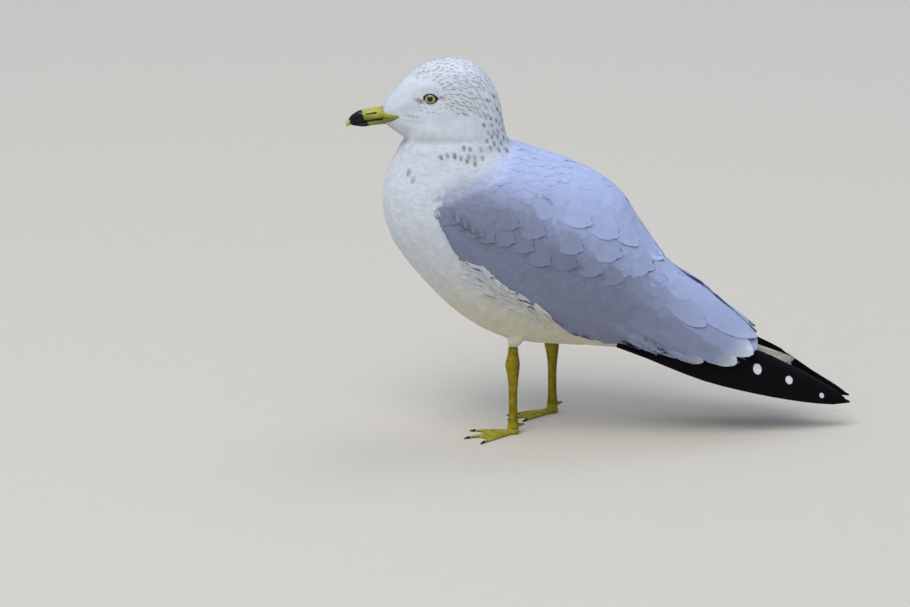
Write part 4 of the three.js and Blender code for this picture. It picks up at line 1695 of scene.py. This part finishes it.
        streaked = white & (streak >= spot) & (streak > 0.02)
        spotted = white & (spot > streak) & (spot > 0.02)
        groups = (
            ("face_feathers", calm(0.0, 0.15), self.plain, Mask.NONE, None),
            ("crown_and_cheek_feathers", calm(0.15, 0.30), self.plain, Mask.NONE, None),
            ("streaked_feathers", streaked, self.marked, Mask.STREAK, streak),
            ("spotted_feathers", spotted, self.marked, Mask.SPOT, spot),
            ("neck_feathers", calm(0.30, 0.44), self.body, Mask.NONE, None),
            ("breast_feathers", calm(0.44, 0.62), self.body, Mask.NONE, None),
            ("belly_feathers", calm(0.62, 2.0), self.body, Mask.NONE, None),
            ("back_and_wing_feathers", ~white, self.back, Mask.NONE, None),
        )
        for number, (name, chosen, cut, mask, marks) in enumerate(groups):
            index = np.flatnonzero(chosen & flat)
            stretch, slimness = self.marked_shape if marks is not None else (1.0, self.slimness)
            long = sizes[index] * stretch
            run = heading[index][:, None] * long[:, None, None] * np.array(cut.rows)[None, :, None]
            shaft, normal = guide.near(roots[index][:, None] + run)
            feathers = Feathers(
                shaft=shaft,
                normal=normal,
                width=long * slimness,
                ground=ground[index],
                mark=None if marks is None else np.tile(np.array(pattern.brown), (len(index), 1)),
                mark_share=None if marks is None else marks[index],
            )
            material, slot = (smooth, "grey_plumage") if cut is self.back else (soft, "white_plumage")
            plumage.build(name, guide, feathers, cut, material, slot, mask, seed=self.seed + number)

    @staticmethod
    def _marks(
        roots: Array,
        patches: Sequence[MarkPatch],
        apart: float,
        white: Array,
        rng: np.random.Generator,
    ) -> Array:
        """How dark the mark of each feather is, from 0 for none to 1."""
        x, h = SideSheet.read(roots)
        marks = np.zeros(len(roots))
        for patch in patches:
            chance = patch.share * patch.weight(x, h) * white
            tried = rng.permutation(np.flatnonzero(rng.random(len(roots)) < chance))
            off = np.full(len(roots), apart / max(patch.share, 0.3) ** 0.5)
            hit = np.zeros(len(roots), bool)
            hit[thinned(roots, tried, off)] = True
            marks = np.maximum(marks, hit * patch.depth * (0.5 + 0.5 * rng.random(len(roots))))
        return marks


@dataclass(frozen=True)
class Quill:
    """One large feather laid out on the side sheet."""

    tip: Pair  # x and h in mm
    dip: float  # degrees that it points down
    length: float  # mm
    width: float
    raised: float = 0.0  # mm over the feathers beneath
    bow: float = 0.0  # mm that its middle is pushed down the sheet
    tone: float = 1.0  # brightness against its place's colour
    pale: float = 0.0  # how white its tip is

    def path(self, steps: Array) -> tuple[Array, Array]:
        """The shaft's x and h at each step from root to tip."""
        turn = math.radians(self.dip)
        back = (1 - steps) * self.length
        push = 4 * steps * (1 - steps) * self.bow
        x = self.tip[0] - back * math.cos(turn) - push * math.sin(turn)
        h = self.tip[1] + back * math.sin(turn) - push * math.cos(turn)
        return x, h


def quills_on(
    form: Form, side: Side, quills: Sequence[Quill], steps: Sequence[float], ground: Array
) -> Feathers:
    """Lays quills' shafts from the side sheet onto a form.

    Args:
        form: The surface they lie on.
        side: The side of the bird.
        quills: The feathers.
        steps: The steps from root to tip.
        ground: One colour for all, which each quill's tone changes.

    Returns:
        The feathers, still without marks.
    """
    steps = np.array(steps)
    x, h = (np.stack(part) for part in zip(*(quill.path(steps) for quill in quills)))
    shaft, normal = SideSheet(side).cast(x, h, form)
    return Feathers(
        shaft=shaft,
        normal=normal,
        width=np.array([quill.width for quill in quills]) * MM,
        ground=ground * np.array([quill.tone for quill in quills])[:, None],
        mark_share=np.array([quill.pale for quill in quills]),
        raised=np.array([quill.raised for quill in quills]),
        flat=np.stack([x, h], -1) * MM,
    )


@dataclass
class WingFeathers:
    """The large grey feathers of both wings: scapulars, tertials and secondaries."""

    scapulars: tuple[Quill, ...] = (
        # the lower border, from the shoulder back
        Quill((-117, 164.5), 46, 20, 12, 0.42, tone=1.02),
        Quill((-108, 160.5), 42, 26, 14, 0.48, tone=1.02),
        Quill((-97, 154), 42, 34, 16, 0.54, tone=1.02), Quill((-86, 150), 40, 36, 17, 0.57, tone=1.02),
        Quill((-69, 150), 22, 34, 17, 0.6, tone=1.02), Quill((-54, 143), 30, 40, 18, 0.6, tone=1.03),
        Quill((-40, 131.5), 36, 48, 20, 0.66, tone=1.03), Quill((-18, 130), 26, 44, 19, 0.6, tone=1.03),
        Quill((3, 125), 22, 46, 19, 0.6), Quill((20.5, 118.5), 18, 44, 17, 0.54),
        # the second row
        Quill((-44, 156), 26, 44, 20, 0.75), Quill((-66, 163), 24, 40, 18, 0.72),
        Quill((-13, 143), 25, 46, 20, 0.78), Quill((19, 138.5), 22, 50, 24, 0.72),
        Quill((46, 128), 22, 52, 27, 0.54, tone=0.92),
        # the upper row
        Quill((-6, 164), 30, 52, 21, 0.96, tone=1.05), Quill((15.5, 153.5), 36, 50, 21, 0.93, tone=1.05),
        Quill((31.5, 146.5), 46, 62, 19, 0.9, tone=1.1), Quill((57, 135.5), 46, 46, 22, 0.6, tone=1.3),
    )
    ruffles: tuple[Quill, ...] = (
        Quill((-119, 170.5), 62, 13, 3.4, 1.6, tone=0.8),
        Quill((-115.5, 166), 66, 13, 3.2, 1.7, tone=1.2),
        Quill((-112.5, 163), 64, 14, 3.4, 1.6, tone=0.7),
        Quill((-109.5, 161.5), 60, 13, 3.2, 1.7, tone=1.2),
        Quill((-106, 159), 58, 14, 3.6, 1.6, tone=0.72),
        Quill((-102.5, 157.5), 55, 12, 3.2, 1.7, tone=1.15),
        Quill((-99, 155.5), 50, 13, 3.4, 1.6, tone=0.75),
        Quill((-95, 154.5), 48, 12, 3.4, 1.7, tone=1.1),
        Quill((-45.5, 186), 60, 9, 2.4, 0.9, tone=0.75), Quill((-42, 184.5), 55, 9, 2.4, 0.9, tone=0.8),
        Quill((-39.5, 181.5), 50, 8, 2.4, 0.9, tone=0.78),
    )
    secondaries: tuple[Quill, ...] = (
        Quill((-13, 74), 30, 30, 11, 0.4), Quill((1, 71.5), 24, 40, 12, 0.45),
        Quill((14.5, 69.5), 25, 46, 13, 0.5), Quill((27, 67.5), 26, 52, 13, 0.55),
        Quill((41, 63.5), 27, 60, 14, 0.5), Quill((55, 59.5), 28, 66, 15, 0.5),
        Quill((70, 56), 29, 70, 16, 0.7, pale=0.2),
        Quill((86, 51.5), 29, 72, 17, 0.75, tone=1.02, pale=0.4),
    )
    tertials: tuple[Quill, ...] = (
        Quill((129, 79), 39, 118, 40, 0.1, pale=0.7),
        Quill((115, 50.5), 29, 92, 24, 1.0, tone=1.05, pale=0.9),
        Quill((127.5, 57.5), 29.5, 98, 25, 1.25, tone=0.95, pale=0.85),
        Quill((132.5, 71), 33, 112, 28, 1.5, tone=0.84, pale=0.25),
        Quill((88, 80), 41, 62, 20, 1.0, tone=1.14, pale=0.1),
    )
    steps: tuple[float, ...] = (0.0, 0.2, 0.4, 0.6, 0.78, 0.9, 0.97, 1.0)
    columns: tuple[float, ...] = (-1.0, -0.93, -0.6, -0.06, 0.06, 0.6, 0.93, 1.0)
    short: Cut = Cut(
        rows=steps, columns=columns, root_width=0.3, tip_width=0.3, widest=0.6, rounding=0.3,
        root_lift=-1.0, tip_lift=0.2, camber=0.1, tilt=0.05, ragged=0.006, fringe=0.03, shadow=0.0,
        blend=0.75, hook=6.0, vary=0.008,
    )
    long: Cut = Cut(
        rows=steps, columns=columns, root_width=0.35, tip_width=0.4, widest=0.6, rounding=0.4,
        root_lift=-0.8, tip_lift=0.35, camber=0.4, tilt=0.2, ragged=0.008, fringe=0.06, shadow=0.03,
        blend=0.3, hook=7.0, rise=0.8,
    )

    def build(self, flesh: Flesh, plumage: Plumage, pattern: PlumagePattern) -> None:
        """Makes the scapulars, secondaries and tertials of each side."""
        material = FeatherFinish("wing_feather", 0.6, 0.05, 0.2, 0.05, 0.3, 0.06, 0.03).material()
        sets = (
            ("scapulars", self.scapulars + self.ruffles, self.short, flesh.sides),
            ("secondaries", self.secondaries, self.long, flesh.wing_sides),
            ("tertials", self.tertials, self.long, flesh.wing_sides),
        )
        for side in Side:
            for name, quills, cut, forms in sets:
                feathers = quills_on(forms[side], side, quills, self.steps, np.ones(3))
                tones = np.array([(1.0, quill.tone) for quill in quills])[:, :, None]
                ends = feathers.shaft[:, (1, -1)]
                greys = pattern.grey_at(ends.reshape(-1, 3)).reshape(-1, 2, 3)
                feathers.ground = np.clip(greys * tones, 0, 1)
                feathers.mark = np.tile(np.array(pattern.white), (len(quills), 1))
                plumage.build(
                    f"{name}_{side.word}", forms[side], feathers, cut, material, "grey_plumage", Mask.TIP,
                    atlas=True,
                )


@dataclass
class FlankStrands:
    """Loose white strands of each flank, which lie over the wing's lower edge."""

    edge: tuple[Pair, ...] = (  # the wing's lower edge on the side sheet, in mm
        (-108, 128), (-94.2, 121), (-81.8, 110.4), (-65.2, 100.4), (-48.6, 89), (-40, 81),
    )
    count: int = 210
    band: Pair = (-8.0, 6.0)  # mm that the tips reach past the edge
    lengths: Pair = (14.0, 26.0)
    widths: Pair = (1.3, 2.8)
    turn: float = 9.0  # degrees that they point above the edge's own run
    seed: int = 31
    cut: Cut = Cut(
        rows=(0.0, 0.2, 0.4, 0.6, 0.8, 1.0), columns=(-1.0, 0.0, 1.0), root_width=0.6, tip_width=0.12,
        widest=0.4, rounding=0.0, root_lift=-0.9, tip_lift=0.3, camber=0.12, tilt=0.05, ragged=0.0,
        shadow=0.1, vary=0.03, blend=0.55, hook=2.0, rise=0.7,
    )

    def build(self, flesh: Flesh, plumage: Plumage, pattern: PlumagePattern) -> None:
        """Strews the strands along both wings' edges."""
        material = FeatherFinish("strand").material()
        for side in Side:
            form = flesh.sides[side]
            feathers = quills_on(form, side, self._quills(), self.cut.rows, np.ones(3))
            feathers.ground = feathers.ground * pattern.white_at(feathers.shaft[:, 0])
            plumage.build(
                f"flank_strands_{side.word}", form, feathers, self.cut, material, "white_plumage"
            )

    def _quills(self) -> list[Quill]:
        """Draws the strands at random along the edge."""
        rng = np.random.default_rng(self.seed)
        line = curve_through(self.edge, 400)
        run = unit(np.gradient(line, axis=0))
        quills = []
        for _ in range(self.count):
            place = rng.integers(30, 400)
            ahead, rise = run[place]
            past = rng.uniform(*self.band)
            dip = math.degrees(math.atan2(-rise, ahead)) - self.turn + 6 * rng.standard_normal()
            quills.append(Quill(
                tuple(line[place] + np.array([-rise, ahead]) * past),
                dip,
                rng.uniform(*self.lengths),
                rng.uniform(*self.widths),
                rng.uniform(0.4, 1.2),
                rng.uniform(-1.5, 1.5),
                rng.uniform(0.9, 1.03),
            ))
        return quills


@dataclass
class Primaries:
    """The black wing tips, each a stack of long quills with white spots near their ends."""

    quills: tuple[Quill, ...] = (
        Quill((205, 20.5), 21, 130, 25, -0.6), Quill((209.3, 17.5), 14.0, 200, 20, -0.2, 3.0),
        Quill((193, 20.5), 17, 150, 19, 0.1, 2.0), Quill((164.7, 31), 18, 130, 22, 0.4, 1.5),
        Quill((138, 41), 20, 110, 23, 0.7, 1.0), Quill((121, 50), 22, 90, 24, 0.9),
    )
    spots: tuple[Patch, ...] = (
        Patch((131.6, 44.8), (4.6, 3.4), 74), Patch((158.1, 35.7), (3.5, 2.9), 70),
        Patch((185.5, 22.8), (2.2, 1.8), 70),
    )
    cut: Cut = Cut(
        rows=tuple(np.linspace(0, 1, 14) ** 0.8), columns=(-1.0, -0.8, -0.45, -0.12, 0.12, 0.45, 0.8, 1.0),
        root_width=0.3, tip_width=0.12, widest=0.45, rounding=0.2, root_lift=0.2, tip_lift=0.3,
        camber=0.25, tilt=0.15, ragged=0.0, shadow=0.0, hook=6.0, rise=0.5, blend=0.3,
    )

    def build(self, frame: dict, plumage: Plumage, pattern: PlumagePattern) -> None:
        """Makes each wing tip over its node."""
        material = FeatherFinish(
            "black_feather", 0.6, 0.0, 0.08, 0.12, 0.3, 0.0, 0.08, self.spots
        ).material()
        for side in Side:
            node = frame["nodes"][f"primaries_{side.word}"]
            form = Form(joined_copy([node]))
            feathers = quills_on(form, side, self.quills, self.cut.rows, np.array(pattern.black))
            plumage.build(
                f"wing_tip_{side.word}", form, feathers, self.cut, material, "black_plumage", atlas=True,
                nodes=[node.name],
            )


@dataclass
class TailFeathers:
    """The closed white tail: pairs of feathers, the middle pair on top."""

    pairs: int = 6
    root_x: float = 70.0
    tip_x: float = 163.0
    trail: float = 16.0  # mm that the outermost pair ends short of the middle one
    root_half: float = 4.0  # half the tail's width at the roots
    half: float = 13.0
    width: float = 12.0
    shade: float = 0.62  # painted shadow of the wings: brightness against the belly's warm white
    cut: Cut = Cut(
        rows=(0.0, 0.2, 0.4, 0.6, 0.8, 0.92, 1.0), columns=(-1.0, -0.6, -0.1, 0.1, 0.6, 1.0),
        root_width=0.7, tip_width=0.55, widest=0.7, rounding=0.35, root_lift=-0.2, tip_lift=0.1,
        camber=0.25, tilt=0.0, ragged=0.01, draped=False, shadow=0.1,
    )

    def build(self, frame: dict, plumage: Plumage, pattern: PlumagePattern) -> None:
        """Makes the tail over its node."""
        form = Form(joined_copy([frame["nodes"]["tail"]]))
        us = np.array(self.cut.rows)
        starts, raised = [], []
        for rank in range(self.pairs):
            for sign in (-1, 1):
                share = (rank + 0.5) / self.pairs
                x = self.root_x + (self.tip_x - self.trail * share**2 - self.root_x) * us
                y = sign * share * (self.root_half + (self.half - self.root_half) * us)
                starts.append(np.stack([x, y, np.full(len(us), 300.0)], -1) * MM)
                raised.append(-0.07 * rank)
        shaft, normal = form.struck(np.array(starts), np.array([0.0, 0.0, -1.0]))
        count = len(starts)
        feathers = Feathers(
            shaft=shaft,
            normal=normal,
            width=np.full(count, self.width * MM),
            # Painted shadow of the wings over the tail, on the belly's bounce-lit white.
            ground=np.tile(np.array(pattern.belly) * self.shade, (count, 1)),
            raised=np.array(raised),
        )
        material = FeatherFinish("tail_feather", 0.6, 0.1, 0.2, 0.08, 0.3, 0.05, 0.03).material()
        plumage.build(
            "tail_feathers", form, feathers, self.cut, material, "white_plumage", atlas=True, nodes=["tail"]
        )


@dataclass(frozen=True)
class Lamp:
    """One soft light."""

    name: str
    place: Triple
    size: float
    power: float
    colour: Triple = (1.0, 1.0, 1.0)


@dataclass
class Studio:
    """The pale floor, the soft lights and the camera."""

    floor_reach: float = 40.0
    horizon: Triple = (0.31, 0.31, 0.31)
    zenith: Triple = (0.50, 0.62, 0.86)
    lamps: tuple[Lamp, ...] = (
        Lamp("key", (-1.1, -1.4, 3.9), 2.4, 104.0, (1.0, 0.985, 0.965)),
        Lamp("back", (1.2, 1.6, 3.6), 2.0, 26.0, (0.93, 0.96, 1.0)),
    )
    distance: float = 9.0
    aim: Triple = (-0.1191, 0.0, 0.1043)
    view_width: float = 0.7553  # metres across the picture at the aim
    lit: Triple = (0.0, 0.0, 0.15)  # where the lamps point
    sensor: float = 36.0

    def build(self) -> None:
        """Sets the stage."""
        self._floor()
        self._light()
        self._camera()
        scene = bpy.context.scene
        scene.view_settings.view_transform = "Standard"
        log.info("studio done")

    def _floor(self) -> None:
        """Lays the floor."""
        bm = bmesh.new()
        bmesh.ops.create_circle(bm, cap_ends=True, segments=64, radius=self.floor_reach)
        floor = linked("floor", meshed(bm))
        floor.data.materials.append(FloorFinish().material())

    def _light(self) -> None:
        """Hangs the lights and colours the surrounding air."""
        world = bpy.data.worlds.new("air")
        world.use_nodes = True
        tree = world.node_tree
        background = next(n for n in tree.nodes if n.type == "BACKGROUND")
        height = tree.nodes.new("ShaderNodeSeparateXYZ")
        tree.links.new(tree.nodes.new("ShaderNodeTexCoord").outputs["Generated"], height.inputs[0])
        ramp = tree.nodes.new("ShaderNodeValToRGB")
        for element, colour, position in zip(
            ramp.color_ramp.elements, (self.horizon, self.zenith), (0.05, 0.75)
        ):
            element.color = (*colour, 1.0)
            element.position = position
        tree.links.new(height.outputs[2], ramp.inputs[0])
        tree.links.new(ramp.outputs[0], background.inputs[0])
        bpy.context.scene.world = world
        for lamp in self.lamps:
            light = bpy.data.lights.new(lamp.name, "AREA")
            light.energy, light.size, light.color = lamp.power, lamp.size, lamp.colour
            made = linked(lamp.name, light)
            made.location = lamp.place
            aim = Vector(self.lit) - Vector(lamp.place)
            made.rotation_euler = aim.to_track_quat("-Z", "Y").to_euler()

    def _camera(self) -> None:
        """Places the camera, looking down a little from the bird's left."""
        data = bpy.data.cameras.new("camera")
        data.sensor_width = self.sensor
        data.lens = self.sensor * self.distance / self.view_width
        data.clip_end = 100.0
        camera = linked("camera", data)
        back = Vector((0.0, -math.cos(LOOK_DOWN), math.sin(LOOK_DOWN)))
        camera.location = Vector(self.aim) + back * self.distance
        camera.rotation_euler = (-back).to_track_quat("-Z", "Y").to_euler()
        bpy.context.scene.camera = camera


def main() -> None:
    """Builds the gull and its stage in order."""
    logging.basicConfig(level=logging.INFO, format="%(message)s")
    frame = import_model()
    Studio().build()
    pattern = PlumagePattern()
    lie = Lie()
    flesh = Flesh()
    flesh.build(frame, pattern)
    eyes = Eyes()
    eyes.build(flesh.guide)
    Bill().build(frame, flesh.guide)
    Legs().build(frame)
    plumage = Plumage(lie)
    Coat(flesh, lie, eyes).build(plumage, pattern)
    WingFeathers().build(flesh, plumage, pattern)
    FlankStrands().build(flesh, plumage, pattern)
    Primaries().build(frame, plumage, pattern)
    TailFeathers().build(frame, plumage, pattern)


if __name__ == "__main__":
    main()
